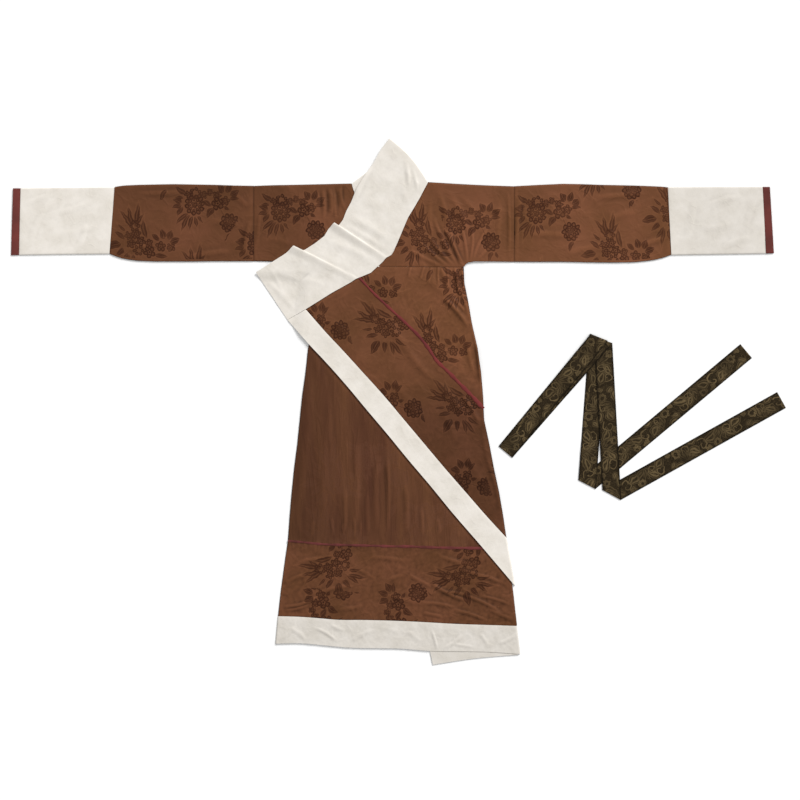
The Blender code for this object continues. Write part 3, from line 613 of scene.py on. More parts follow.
def on_cloth(tree, layer):
    """Places on the flat cloth as this UV layer has them, in millimetres."""
    node = tree.nodes.new("ShaderNodeUVMap")
    node.uv_map = layer
    return vector(tree, "MULTIPLY", node.outputs["UV"], (1000.0, 1000.0, 0.0))


def swayed(tree, cloth, scale, reach):
    """Places on the cloth, moved to either side by up to half this reach, so that woven lines waver."""
    drift = noise(tree, cloth, scale, 1.0)["Color"]
    moved = vector(tree, "MULTIPLY_ADD", drift, (reach, reach, 0.0), cloth)
    return vector(tree, "SUBTRACT", moved, (reach / 2, reach / 2, 0.0))


def rim_of_figure(tree, field, apart):
    """1 in a line round the figure, where its field has fallen to less than 0 by apart."""
    return ramp(tree, number(tree, "ABSOLUTE", number(tree, "ADD", field, apart)), -1.2, 1.0, clamp=True)


def uneven_threads(tree, place, warp, weft):
    """Threads both ways: the sum of two noises, each drawn out along its threads by two scales."""
    ways = [noise(tree, vector(tree, "MULTIPLY", place, (*way, 0.0)), 1.0)["Fac"] for way in (warp, weft)]
    return number(tree, "ADD", *ways)


def wrinkles(tree, place, scale, sharpness):
    """Heights of fine wrinkles: thin curved ridges where a noise passes its mean."""
    height = noise(tree, place, scale, 2.5, 0.6)["Fac"]
    off = number(tree, "ABSOLUTE", number(tree, "SUBTRACT", height, 0.5))
    return ramp(tree, off, -sharpness, 1.0, clamp=True)


def painted_hollow_shade(tree, share, most):
    """A factor for the cloth's tone, painted from its relief: painted shade, darker by this share for
    each millimetre of hollow, but by half at most, and a painted highlight, lighter on the ridges
    between, up to most."""
    hollow = tree.nodes.new("ShaderNodeAttribute")
    hollow.attribute_name = "hollow"
    factor = ramp(tree, hollow.outputs["Fac"], -share, 1.0)
    return number(tree, "MINIMUM", number(tree, "MAXIMUM", factor, 0.5), most)


def silk_material(name, ground, dark, bright, strength, hollow, grain, leans):
    """Figured silk: a ground that varies between two tones in broad clouds, the figure woven in a
    darker or lighter tone, fine threads both ways, fine wrinkles and a soft sheen. Clouds and
    wrinkles are finer in x and y by the two numbers of grain. Hollow is how much painted shade
    darkens the creases, with a painted highlight on the ridges between; more painted shade darkens
    the cloth where it tilts, on slopes, fold edges and rims. Each of the leans makes the cloth
    lighter or darker towards one side of the robe: slopes in x and y, a start, and how much."""
    made, tree, shader = new_material(name)
    shapes = SPRAY_A + tuple((kind, (at[0] + SPRAY_APART, at[1]), *more) for kind, at, *more in SPRAY_B)
    field = figure(tree, swayed(tree, on_cloth(tree, "figure"), 0.06, 9.0), shapes, 0.3)
    mask = number(tree, "MAXIMUM", field, 0.0)
    place = tree.nodes.new("ShaderNodeTexCoord").outputs["Object"]
    grained = vector(tree, "MULTIPLY", place, (*grain, 1.0))
    clouds = ramp(tree, noise(tree, grained, 7.0, 3.0)["Fac"], 2.6, -0.8, clamp=True)
    tone = mixed(tree, clouds, (*ground, 1), (*bright, 1))
    weaving = ramp(tree, noise(tree, place, 16.0)["Fac"], 0.9, 0.5, clamp=True)
    woven = mixed(tree, product(tree, product(tree, mask, strength), weaving), tone, (*dark, 1))

    threads = uneven_threads(tree, on_cloth(tree, "cloth"), (1.4, 0.09), (0.07, 1.1))
    # Painted shade on slopes, fold edges and rims: pressed is 1 where the cloth lies level and 0 where it
    # tilts steeply, darkening the tone down to 0.45
    normal = tree.nodes.new("ShaderNodeNewGeometry").outputs["Normal"]
    level = number(tree, "ABSOLUTE", vector(tree, "DOT_PRODUCT", normal, (0.0, 0.0, 1.0)))
    pressed = ramp(tree, level, 2.4, -1.35, clamp=True)
    rim = ramp(tree, rim_of_figure(tree, field, 0.9), 0.18, 1.0)
    # Painted shade in the hollows of the relief and a painted highlight on its ridges
    lit = product(tree, rim, painted_hollow_shade(tree, hollow, 1.12))
    lit = product(tree, lit, ramp(tree, pressed, 0.55, 0.45))
    for slope_x, slope_y, start, most in leans:
        sideways = vector(tree, "DOT_PRODUCT", place, (slope_x, slope_y, 0.0))
        towards = number(tree, "ADD", sideways, start, clamp=True)
        lit = product(tree, lit, ramp(tree, towards, most, 1.0))
    shade = product(tree, ramp(tree, threads, 0.28, 0.72), lit)
    tree.links.new(mixed(tree, 1.0, woven, shade, "MULTIPLY"), shader.inputs["Base Color"])
    tree.links.new(ramp(tree, mask, -0.12, 0.6), shader.inputs["Roughness"])
    height = ramp(tree, threads, 0.12, wrinkles(tree, grained, 20.0, 9.0))
    tree.links.new(bumped(tree, height, 0.6, 0.0011), shader.inputs["Normal"])
    shader.inputs["Sheen Weight"].default_value = 0.03
    shader.inputs["Sheen Roughness"].default_value = 0.45
    shader.inputs["Specular IOR Level"].default_value = 0.06
    return made


def plain_material(name, pale, shaded, gloss):
    """Doubled cloth in a plain weave of slightly uneven threads, greyer in patches, with faint wrinkles
    where the patches are. It is a little darker towards the hem, a little darker towards the right as
    painted falloff of light, and darker in its hollows as painted shade."""
    made, tree, shader = new_material(name)
    place = tree.nodes.new("ShaderNodeTexCoord").outputs["Object"]
    patches = ramp(tree, noise(tree, place, 22.0, 4.0)["Fac"], 3.2, -1.1, clamp=True)
    tone = mixed(tree, patches, (*pale, 1), (*shaded, 1))
    from_hem = ramp(tree, vector(tree, "DOT_PRODUCT", place, (0.0, 1.0, 0.0)), 40.0, 25.0, clamp=True)
    from_right = ramp(tree, vector(tree, "DOT_PRODUCT", place, (1.0, 0.0, 0.0)), -6.0, 5.2, clamp=True)
    # Darker towards the hem, a painted falloff of light towards the right, and painted shade in the hollows
    hem_tone_and_painted_shade = number(tree, "MINIMUM", ramp(tree, from_hem, 0.14, 0.86), ramp(tree, from_right, 0.08, 0.92))
    hem_tone_and_painted_shade = product(tree, hem_tone_and_painted_shade, painted_hollow_shade(tree, 0.24, 1.0))
    threads = uneven_threads(tree, place, (1200.0, 90.0), (80.0, 1100.0))
    shade = product(tree, ramp(tree, threads, 0.12, 0.88), hem_tone_and_painted_shade)
    tree.links.new(mixed(tree, 1.0, tone, shade, "MULTIPLY"), shader.inputs["Base Color"])
    creasing = product(tree, wrinkles(tree, place, 24.0, 12.0), product(tree, patches, patches))
    height = ramp(tree, threads, 0.2, creasing)
    tree.links.new(bumped(tree, height, 0.4, 0.0008), shader.inputs["Normal"])
    shader.inputs["Roughness"].default_value = 0.8
    shader.inputs["Sheen Weight"].default_value = gloss / 2
    shader.inputs["Specular IOR Level"].default_value = gloss
    return made


SILK_GROUND, SILK_BRIGHT = (0.106, 0.042, 0.0168), (0.151, 0.057, 0.027)
SILK_DARK = (0.040, 0.0125, 0.0055)
# Darker along the shoulders and below the waist but less so at the hem, and lighter to the right.
SILK_LEANS = (
    (0.0, 9.0, -4.9, -0.16), (1.5, -8.0, 0.4, -0.34), (0.0, -25.0, -10.0, 0.34), (4.0, 3.0, -0.9, 0.15),
    (29.0, 27.5, -6.8, 0.17), (0.0, 30.0, -11.0, -0.1),
)
figured_silk = silk_material(
    "figured_silk", SILK_GROUND, SILK_DARK, SILK_BRIGHT, 1.0, 0.55, (1.0, 1.0), SILK_LEANS
)
CREAM, CREAM_GREY = (0.74, 0.695, 0.635), (0.67, 0.625, 0.56)
cream_cloth = plain_material("cream_cloth", CREAM, CREAM_GREY, 0.2)


def back_relief(place):
    """Faint creases pressed into the back by what lies on it."""
    return creased(place, BACK_CREASES) + 0.25 + uneven(place, 5, 130, 0.2)


waist = np.linspace((-220, WAIST_Y), (189, WAIST_Y), 9)
lower = np.concatenate([LEFT_UNDERARM[:-1], waist, RIGHT_UNDERARM[1:]])
neck = [(x, NECK_SEAM_Y + BACK_INSET) for x in (-120, -50, 20, 90)]
upper = np.concatenate([smooth_line(LEFT_SHOULDER, 7)[:-1], neck, smooth_line(RIGHT_SHOULDER, 9)[1:]])
bodice_back = panel(
    "robe_bodice_back",
    (np.linspace(lower[0], upper[0], 6), np.linspace(lower[-1], upper[-1], 6), lower, upper),
    ("seam", "seam", "seam", "cut"),
    0.0, SILK, figured_silk, 0, all_over(-420, 340, 400, 630), 6.0,
    (HALF_SEAM, HALF_SEAM, BACK_INSET, BACK_INSET), back_relief,
)
declare(bodice_back)
top = np.linspace((-222, WAIST_Y - BACK_INSET), (190, WAIST_Y - BACK_INSET), 9)
hem_line = smooth_line(HEM_SEAM, 60)
left, right = side_fold("left", top[0][1], hem_line[0][1]), side_fold("right", top[0][1], hem_line[-1][1])
skirt_back = panel(
    "robe_skirt_back",
    (left, right, hem_line, top),
    ("cut", "cut", "seam", "seam"),
    0.0, SILK, figured_silk, 0, all_over(-350, 350, -640, 390), 9.0,
    (BACK_INSET, BACK_INSET, HALF_SEAM, HALF_SEAM), back_relief,
)
declare(skirt_back)
hem_low = smooth_line(HEM_EDGE, 60)
hem_edges = (
    np.linspace(hem_low[0], hem_line[0], 6), np.linspace(hem_low[-1], hem_line[-1], 6), hem_low, hem_line,
)
hem_back = panel(
    "robe_hem_back",
    hem_edges,
    ("cut", "cut", "cut", "seam"),
    0.0, SILK, cream_cloth, 0, (), 5.0,
    (BACK_INSET, BACK_INSET, BACK_INSET, HALF_SEAM), back_relief,
)
declare(hem_back)

# Sleeves, with wide cream cuffs and narrow maroon bindings at their ends. Each is a straight tube of
# cloth pressed flat, seamed along its lower fold and round the arm.

# Columns: x, y of the lower fold, x, y of the upper fold.
LEFT_SLEEVE = (
    (-832, 424, -817, 617), (-814, 417, -805, 619), (-796, 411, -790, 621), (-774, 407, -770, 622),
    (-751, 404, -747, 623), (-700, 402, -700, 624), (-649, 402, -649, 625), (-588, 402, -588, 624),
    (-528, 403, -528, 623), (-472, 403, -472, 621), (SLEEVE_SEAM_LEFT, 403, SLEEVE_SEAM_LEFT, 620),
)
RIGHT_SLEEVE = (
    (SLEEVE_SEAM_RIGHT, 401, SLEEVE_SEAM_RIGHT, 619), (409, 401, 409, 623), (475, 401, 475, 626),
    (530, 400, 530, 625), (582, 399, 582, 623), (635, 399, 635, 622), (680, 400, 680, 621),
    (712, 403, 708, 620), (740, 407, 733, 619), (764, 413, 755, 618), (787, 421, 777, 616),
)
LEFT_CUFF = ((-1093, 421, -1088, 613), (-960, 423, -950, 615), (-832, 424, -817, 616))
RIGHT_CUFF = ((787, 421, 777, 616), (925, 423, 915, 617), (1060, 425, 1050, 617))
LEFT_BINDING = ((-1116, 420, -1110, 613), (-1093, 421, -1088, 613))
RIGHT_BINDING = ((1060, 425, 1050, 617), (1083, 426, 1071, 617))
# Where the sprays lie. Columns: which spray, x, y, turn. Above the upper fold they are on the back.
LEFT_SPRAYS = (
    ("B", -762, 511, 0), ("A", -586, 565, 0), ("B", -584, 394, 0), ("A", -406, 444, 0),
    ("A", -760, 735, 0), ("B", -590, 770, 0), ("A", -450, 740, 0),
)
RIGHT_SPRAYS = (
    ("A", 399, 540, 0), ("B", 606, 484, 0), ("A", 573, 660, 0), ("B", 781, 585, 0), ("B", 400, 352, 0),
    ("A", 400, 735, 0), ("B", 600, 790, 0), ("A", 740, 745, 0),
)
TUBE_HEIGHT = 4.4  # from the floor to the top of a sleeve's front
END_DIP, END_REACH = 2.0, 4.0  # how deep the ends are drawn in at their seams, and how far from them
SLEEVE_CREASES = (
    (-620, 410, -470, 432, 8, 1.8, 6), (-440, 415, -425, 520, 6, 2.1, 4),
    (-470, 600, -425, 560, 6.5, 1.5, -4), (-800, 430, -700, 452, 8, 1.4, 5),
    (-760, 600, -600, 606, 6, 1.4, -3), (-560, 520, -440, 500, 9, 1.2, 8),
    (342, 430, 356, 600, 6, 2.2, 5), (360, 480, 520, 470, 9, 1.5, 8), (470, 420, 640, 452, 10.5, 1.7, 8),
    (560, 590, 720, 606, 8, 1.5, -4), (690, 440, 775, 470, 8, 1.7, 6),
    (600, 520, 700, 545, 10.5, 1.2, 8),
)
CUFF_CREASES = (
    (-1060, 440, -990, 590, 7.6, 1.0, 12), (-1080, 560, -1000, 596, 6, 0.8, 4),
    (-930, 430, -900, 520, 6.8, 1.0, -8), (-980, 470, -860, 500, 8.5, 0.7, 8),
    (-1000, 540, -880, 580, 6.8, 0.8, -6), (820, 440, 850, 590, 7.6, 1.0, -10),
    (880, 560, 1000, 590, 6.8, 1.1, 6), (930, 440, 1030, 470, 7.6, 1.0, 8),
    (1000, 480, 1040, 600, 6.8, 0.8, 6), (860, 500, 980, 520, 8.5, 0.8, -8),
)


def sleeve_relief(place):
    """Creases of the sleeves, on unevenness drawn out along the arm."""
    return creased(place, SLEEVE_CREASES) + uneven(place, 11, 90, 0.28, (0.6, 1.0))


def cuff_relief(place):
    """Softer creases of the cuffs and their bindings."""
    return creased(place, CUFF_CREASES) + uneven(place, 17, 40, 0.16)


def tube_of_cloth(name, sections, wall, finish, pitch, relief, sprays=()):
    """A flattened tube. Each section is two half circles joined by flats, front above back. The relief
    rises on its front and fades to its folds, and both ends dip as an exponential of the distance."""
    sections = np.array(sections, float)
    sections[0, 0::2] += HALF_SEAM
    sections[-1, 0::2] -= HALF_SEAM
    run = lengths(sections[:, 0:2])
    at = np.linspace(0, run[-1], max(3, int(run[-1] / pitch) + 1))
    low_x, low_y, high_x, high_y = (np.interp(at, run, sections[:, k])[:, None] for k in range(4))
    flat = np.linspace(0, 1, int((high_y - low_y).mean() / pitch))[1:-1]
    turn = np.linspace(-math.pi / 2, math.pi / 2, 7)[::-1]
    rise = np.concatenate([flat * 0 + 1, np.sin(turn), flat * 0 - 1, -np.sin(turn)])
    near, far = low_y + TUBE_HEIGHT / 2, high_y - TUBE_HEIGHT / 2
    layers = []
    for radius in (TUBE_HEIGHT / 2, TUBE_HEIGHT / 2 - wall):
        rounded = radius * np.cos(turn)
        y = [near + (far - near) * flat, far + rounded, far + (near - far) * flat, near - rounded]
        y = np.concatenate(y, axis=1)
        share = (y - low_y) / (high_y - low_y)
        x = low_x * (1 - share) + high_x * share
        plan = np.stack([x, y], axis=-1)
        end = np.minimum(x - x.min(), x.max() - x)
        shaped = relief(plan) * np.clip(rise, 0, 1) * np.clip(np.minimum(share, 1 - share) * 14, 0, 1)
        shaped = shaped - END_DIP * np.clip(rise, 0, 1) * np.exp(-end / END_REACH)
        z = TUBE_HEIGHT / 2 + radius * rise + np.maximum(shaped, -1.8)
        layers.append(np.concatenate([plan, z[..., None]], axis=2))
    outer, inner = layers
    stations, around = outer.shape[:2]
    ids = np.arange(stations * around).reshape(stations, around)
    closed = np.concatenate([ids, ids[:, :1]], axis=1)
    looped = np.concatenate([outer, outer[:, :1]], axis=1)
    step = np.linalg.norm(np.diff(looped, axis=1), axis=2)
    over = np.concatenate([np.zeros((stations, 1)), np.cumsum(step, axis=1)], axis=1) + outer[:, :1, 1]
    spread = np.stack([looped[..., 0], over], axis=-1).reshape(-1, 2)
    places = np.arange(stations * (around + 1)).reshape(stations, around + 1)
    faces = [cells(closed), cells(closed)[:, ::-1] + ids.size]
    corners = [cells(places), cells(places)[:, ::-1]]
    for row, way in ((0, 1), (stations - 1, -1)):
        a, b = closed[row, :-1], closed[row, 1:]
        pa, pb = places[row, :-1], places[row, 1:]
        faces.append(np.stack([a, b, b + ids.size, a + ids.size], axis=1)[:, ::way])
        corners.append(np.stack([pa, pb, pb, pa], axis=1)[:, ::way])
    points = np.concatenate([outer.reshape(-1, 3), inner.reshape(-1, 3)])
    hollow = np.concatenate([hollows(outer[..., 2]) * np.clip(rise * 4 - 3, 0, 1)] * 2)
    faces, corners = np.concatenate(faces), np.concatenate(corners)
    return make_cloth(name, points, hollow, faces, spread[corners], finish, 0, sprays)


MAROON, MAROON_DARK = (0.158, 0.040, 0.034), (0.120, 0.034, 0.029)
maroon_cloth = plain_material("maroon_cloth", MAROON, MAROON_DARK, 0.05)
# Columns: name, sections, spacing of points, relief, sprays, finish, the name of that finish, and
# the tube's size: round the arm and along it, or along it and round it for a binding.
TUBES = (
    ("sleeve_left", LEFT_SLEEVE, 3.8, sleeve_relief, LEFT_SPRAYS, figured_silk, "figured_silk", 444, 414),
    ("sleeve_right", RIGHT_SLEEVE, 3.8, sleeve_relief, RIGHT_SPRAYS, figured_silk, "figured_silk", 444, 450),
    ("cuff_left", LEFT_CUFF, 4.2, cuff_relief, (), cream_cloth, "cream_cloth", 388, 264),
    ("cuff_right", RIGHT_CUFF, 4.2, cuff_relief, (), cream_cloth, "cream_cloth", 388, 272),
    ("cuff_binding_left", LEFT_BINDING, 3.2, cuff_relief, (), maroon_cloth, "maroon_cloth", 23, 390),
    ("cuff_binding_right", RIGHT_BINDING, 3.2, cuff_relief, (), maroon_cloth, "maroon_cloth", 22, 390),
)
for name, sections, pitch, relief, sprays, finish, slot, width, length in TUBES:
    tube = tube_of_cloth("robe_" + name, sections, SILK, finish, pitch, relief, sprays)
    declare(tube)

# Under-wrap: the wearer's right front. A bodice front, a skirt of plain darker silk, a strip of figured
# silk under flat maroon piping, and the cream hem border. Its lower right corner is folded back.

UNDER_BASE, RETURN_BASE, UNDER_MARGIN = 3.2, 1.6, 8.0
UNDER_NECKLINE = ((-58, 386), (-84, 470), (-110, 550), (-135, 627))
LOWER_PIPING = (
    (-318, -403), (-272, -407), (-225, -412), (-153, -415), (-73, -417), (-15, -419),
    (28, -419), (74, -421), (149, -423), (221, -424), (307, -425),
)
RETURN_SEAM = ((84, -684), (150, -676), (220, -666), (285, -658), (341, -652))
RETURN_EDGE = ((100, -760), (155, -751), (209, -743), (280, -736), (349, -731))
RETURN_TOP = ((60, -500), (130, -495), (200, -490), (260, -487), (322, -485))
LAPEL_EDGE = (
    (-319, 234), (-252, 158), (-216, 120), (-150, 46), (-90, -26), (-30, -97),
    (28, -168), (90, -241), (158, -324), (236, -414), (337, -533),
)
LEFT_BODICE_CREASES = (
    (-198, 618, -192, 530, 6, 3.2, 4), (-168, 622, -150, 545, 5, 2.6, -4),
    (-218, 616, -214, 520, 4.5, 2.2, 3), (-182, 606, -178, 520, 4, 1.8, -2),
    (-207, 622, -203, 528, 3.5, -1.2, 2), (-158, 624, -156, 556, 4, -1.2, -2),
    (-184, 624, -170, 540, 3.5, -1.2, 2), (-226, 610, -224, 540, 4, -1.0, 2),
    (-400, 470, -300, 452, 8.5, 1.1, 4), (-395, 560, -404, 440, 5, 1.3, -2),
    (-260, 430, -180, 520, 8.5, 1.0, 6),
)
UNDER_SKIRT_CREASES = (
    (-250, 120, -292, -390, 13, 3.0, 6), (-190, 30, -205, -390, 14.5, 2.8, -10),
    (-120, -60, -125, -400, 11, 3.4, 6), (-55, -130, -60, -400, 9, 2.7, -5),
    (-33, -140, -30, -402, 5.5, 3.6, 4), (20, -215, 22, -402, 8.5, 3.4, 5),
    (-152, -230, -156, -400, 6, 2.3, 3), (-88, -250, -84, -400, 5.5, 1.9, -3),
    (66, -300, 70, -404, 5, 2.7, 2), (-246, -340, -250, -402, 4, 2.5, 2),
    (-190, -330, -184, -402, 3.5, 2.3, -2), (-160, -350, -158, -402, 3, 2.5, 1),
    (-128, -330, -126, -402, 3, 2.8, 2), (-108, -345, -106, -402, 3, 2.1, -1),
    (110, -330, 120, -404, 5, 2.3, 4), (170, -370, 178, -412, 3.5, 2.3, 2),
    (-280, 90, -305, -250, 8.5, 2.1, -8), (-230, 230, -236, 60, 11, 1.5, 6),
)
HEM_CREASES = (
    (-338, -592, -222, -556, 4.2, 3.3, -10), (-332, -602, -250, -582, 3.4, 2.1, -6),
    (-240, -556, -120, -532, 5.1, 2.1, 6), (88, -518, 210, -578, 4.2, 3.4, -8),
    (180, -556, 304, -614, 4.2, 3.4, 6), (206, -496, 318, -532, 5.1, 2.6, 5),
    (60, -580, 170, -596, 4.2, 2.5, 4), (-60, -560, 60, -584, 6.8, 2.0, 5),
    (150, -600, 262, -634, 4.2, 2.9, 4), (-300, -470, -200, -450, 6, 1.7, 5),
    (-100, -450, 30, -462, 6, 1.7, 4), (110, -440, 210, -470, 5.1, 2.1, -5),
    (20, -500, 100, -540, 5.1, 2.3, 4), (230, -560, 330, -590, 3.4, 2.5, 4),
    (120, -548, 200, -560, 3.4, 2.3, 3), (250, -590, 336, -630, 4.2, 2.4, -4),
    (-320, -520, -260, -500, 5.1, 1.7, 4), (-180, -600, -90, -584, 5.1, 1.6, -4),
    (-40, -520, 20, -500, 5.1, 1.6, 3), (60, -610, 140, -626, 4.2, 2.1, 3),
    (-130, -480, -60, -520, 5.1, 1.4, 5), (270, -470, 312, -500, 4.2, 1.8, 3),
    (170, -480, 240, -500, 4.2, 1.8, -3),
)
HEM_BAND_CREASES = (
    (-245, -652, -170, -698, 4.2, 2.1, 6), (-200, -640, -150, -662, 5.1, 1.5, -3),
    (-150, -700, -60, -656, 6, 1.5, 5), (96, -660, 112, -716, 3.4, 2.4, 2),
    (120, -716, 190, -668, 5.1, 1.8, -5), (230, -664, 262, -712, 5.1, 1.5, 3),
    (-320, -650, -262, -690, 6, 1.4, 4), (20, -660, 70, -700, 6, 1.2, 4),
    (-60, -650, 10, -670, 6.8, 1.0, 3), (280, -700, 345, -668, 5.1, 1.7, -4),
    (-345, -690, -290, -640, 5.1, 1.2, -3), (150, -700, 230, -712, 4.2, 1.2, 2),
)
SKIRT_SPRAYS = (("B", -197, -176, 0), ("A", -96, -170, 0), ("A", 77, -343, 0), ("B", -220, -350, 0))
HEM_SPRAYS = (("B", -231, -487, 90), ("B", 138, -510, 90), ("A", -211, -646, 90), ("A", 5, -652, 90))
PLAIN_GROUND, PLAIN_FIGURE = (0.074, 0.027, 0.0138), (0.118, 0.048, 0.026)
PLAIN_BRIGHT = (0.112, 0.045, 0.0195)
PLAIN_LEANS = ((-6.0, -0.8, -1.0, -0.26), (4.0, -1.0, -0.2, 0.06))  # darker at the left fold
plain_silk = silk_material(
    "plain_silk", PLAIN_GROUND, PLAIN_FIGURE, PLAIN_BRIGHT, 0.4, 0.35, (2.2, 0.35), PLAIN_LEANS
)


def crumple(place, seed, wave, height):
    """Fine creases: ridges along the zero lines of an uneven field, as cloth takes when pressed."""
    field = uneven(place, seed, wave, 1.0)
    other = uneven(place, seed + 1, wave * 1.7, 1.0)
    return height * (np.exp(-((field / 0.3) ** 2)) * 0.6 + np.exp(-((other / 0.3) ** 2)))


def left_bodice_relief(place):
    """Creases and unevenness, held low where the over-wrap rests on the bodice."""
    free = np.clip((-130 - place[..., 0]) / 60, 0, 1)
    soft = creased(place, LEFT_BODICE_CREASES) + uneven(place, 21, 80, 0.3)
    return np.minimum(soft, 0.75 + 2.0 * free)


neckline = smooth_line(UNDER_NECKLINE, 40)
waist = np.linspace(LEFT_UNDERARM[-1], UNDER_NECKLINE[0], 5)
armhole = np.linspace(LEFT_UNDERARM[0], LEFT_SHOULDER[0], 6)
bodice_left = panel(
    "robe_bodice_left",
    (armhole, neckline, np.concatenate([LEFT_UNDERARM, waist[1:]]), smooth_line(LEFT_SHOULDER, 60)),
    ("seam", "seam", "fold", "fold"),
    UNDER_BASE, SILK, figured_silk, 0, [("A", -338, 545, 0)], 3.0, (HALF_SEAM,) * 4,
    left_bodice_relief,
)
declare(bodice_left)

PIPING_Y, TUCK_REACH = -415, 14
PRESSED_DEPTH, PRESSED_REACH = 1.4, 4  # the line that the edge of the over-wrap presses into this cloth


def tucks(place):
    """What lifts the cloth on both sides of the straight piping: the creases that run into it."""
    near = np.exp(-(((place[..., 1] - PIPING_Y) / TUCK_REACH) ** 2))
    return near * (0.5 + uneven(place, 71, 34, 0.9, (1.0, 0.2)))


def below_lapel(place):
    """How far below the free edge of the over-wrap's border a place is, straight down."""
    edge = np.array(LAPEL_EDGE, float)
    return np.interp(place[..., 0], edge[:, 0], edge[:, 1]) - place[..., 1]


def beside_lapel(place):
    """Distance from that edge, to either side: it slants at about 47 degrees, so 0.68 of the fall."""
    return 0.68 * np.abs(below_lapel(place))


def under_wrap_relief(place, soft):
    """A relief and the tucks where the under-wrap lies open, down to 0 under the over-wrap, which rests
    flat on it, less the line pressed in by the over-wrap's edge."""
    open_cloth = np.clip((below_lapel(place) - 6) / 24, 0, 1)
    pressed = PRESSED_DEPTH * np.exp(-((beside_lapel(place) / PRESSED_REACH) ** 2))
    return (soft + tucks(place)) * open_cloth - pressed


def skirt_relief(place):
    """Long folds and streaks that run down the under-wrap and end just above the piping."""
    above_piping = np.clip((395 + place[..., 1]) / 30, 0, 1)
    streaks = uneven(place, 23, 52, 0.7, (1.0, 0.14)) + creased(place, UNDER_SKIRT_CREASES)
    return under_wrap_relief(place, streaks * above_piping)


def hem_relief(place):
    """Creases and crumpling of the strip above the hem, more of it to the right."""
    right = np.clip((place[..., 0] - 40) / 160, 0.4, 1)
    soft = creased(place, HEM_CREASES) + uneven(place, 27, 60, 0.6) + crumple(place, 29, 90, -0.8) * right
    return under_wrap_relief(place, soft)


seam = smooth_line(LOWER_PIPING, 80)
left = side_fold("left", WAIST_Y - 2.5, seam[0][1])
right = side_fold("right", WAIST_Y - 2.5, seam[-1][1])
right[:, 0] -= UNDER_MARGIN
left[0], seam_low = seam[0], seam.copy()
seam_low[-1] = right[0]
under_skirt = panel(
    "robe_under_skirt",
    (left, right, seam_low, np.linspace(left[-1], right[-1], 9)),
    ("fold", "cut", "cut", "seam"),
    UNDER_BASE, SILK, plain_silk, 0, SKIRT_SPRAYS, (3.4, 7.0), (HALF_SEAM, 0, 3.0, HALF_SEAM),
    skirt_relief,
)
declare(under_skirt)

hem_top = seam.copy()
left = side_fold("left", seam[0][1], hem_line[0][1])
right = side_fold("right", seam[-1][1], hem_line[-1][1])
left[0], left[-1], right[0], right[-1] = hem_line[0], seam[0], hem_line[-1], right[-1]
hem_top[-1] = right[-1]
hem_panel = panel(
    "robe_hem_panel",
    (left, right, hem_line, hem_top),
    ("fold", "fold", "seam", "cut"),
    UNDER_BASE, SILK, figured_silk, 90, HEM_SPRAYS, 3.0, (0, 0, HALF_SEAM, 3.0),
    hem_relief,
)
declare(hem_panel)


def hem_band_relief(place):
    """Creases and crumpling of the hem border, finer than in the silk above it."""
    return creased(place, HEM_BAND_CREASES) + uneven(place, 31, 38, 0.22) + crumple(place, 33, 50, 0.3)


hem_band = panel(
    "robe_hem_band",
    hem_edges,
    ("fold", "fold", "cut", "seam"),
    UNDER_BASE, BAND, cream_cloth, 0, (), 2.4, (0, 0, 0, HALF_SEAM),
    hem_band_relief,
)
declare(hem_band)
seam_line, edge_line = smooth_line(RETURN_SEAM, 40), smooth_line(RETURN_EDGE, 40)
top = np.array(RETURN_TOP, float)
return_panel = panel(
    "robe_return_panel",
    (np.linspace(seam_line[0], top[0], 4), np.linspace(seam_line[-1], top[-1], 4), seam_line, top),
    ("cut", "cut", "seam", "cut"),
    RETURN_BASE, SILK, figured_silk, 90, all_over(60, 350, -700, -480, 90), 6.0,
    (0, BACK_INSET, HALF_SEAM, 0),
)
declare(return_panel)
sides = [np.linspace(edge_line[end], seam_line[end], 4) for end in (0, -1)]
return_band = panel(
    "robe_return_band",
    (*sides, edge_line, seam_line),
    ("cut", "cut", "cut", "seam"),
    RETURN_BASE, BAND, cream_cloth, 0, (), 3.0, (0, BACK_INSET, 0, HALF_SEAM),
)
declare(return_band)


PIPING, PIPING_DARK = (0.178, 0.034, 0.031), (0.110, 0.024, 0.024)
WORN_PIPING, WORN_PIPING_DARK = (0.150, 0.036, 0.034), (0.078, 0.024, 0.020)
piping_cloth = plain_material("piping_cloth", PIPING, PIPING_DARK, 0.05)
worn_piping_cloth = plain_material("worn_piping_cloth", WORN_PIPING, WORN_PIPING_DARK, 0.05)


def piping(name, line, widths, base, rise, relief, finish):
    """Maroon piping: a strip folded along its length and pressed over its seam. Its width runs between
    the two given ones and wavers, and across it the height is a half ellipse."""
    line = smooth_line(line, int(lengths(np.array(line, float))[-1] / 2.5))
    along = np.gradient(line, axis=0)
    square = left_of(along) / np.linalg.norm(along, axis=1)[:, None]
    turn = np.linspace(-1, 1, 9)
    share = np.linspace(0, 1, len(line))
    waver = 1 + 0.18 * np.sin(share * 61) + 0.12 * np.sin(share * 143 + 1)
    half = (widths[0] * (1 - share) + widths[1] * share) * waver / 2
    plan = line[:, None] + square[:, None] * half[:, None, None] * turn[None, :, None]
    under = base(plan) if callable(base) else np.full(plan.shape[:2], float(base))
    under = under + np.maximum(relief(plan), 0)
    z = under + BAND / 2 + rise * np.sqrt(np.clip(1 - turn**2, 0, 1))
    z[:2], z[-2:] = np.minimum(z[:2], under[:2] + BAND), np.minimum(z[-2:], under[-2:] + BAND)
    run = np.stack([np.tile(lengths(line)[:, None], len(turn)), turn * half[:, None]], axis=-1)
    return sheet_of_cloth(name, np.concatenate([plan, z[..., None]], axis=2), run, 1.0, finish)


piping_straight = piping(
    "robe_piping_straight", LOWER_PIPING, (5.5, 7.5), UNDER_BASE, 0.8, tucks, worn_piping_cloth
)
declare(piping_straight)

# Over-wrap: the wearer's left front, on top. A bodice front, a side panel below the waist seam, and the
# lower front set on along the diagonal piping, with a cream border on its edge.

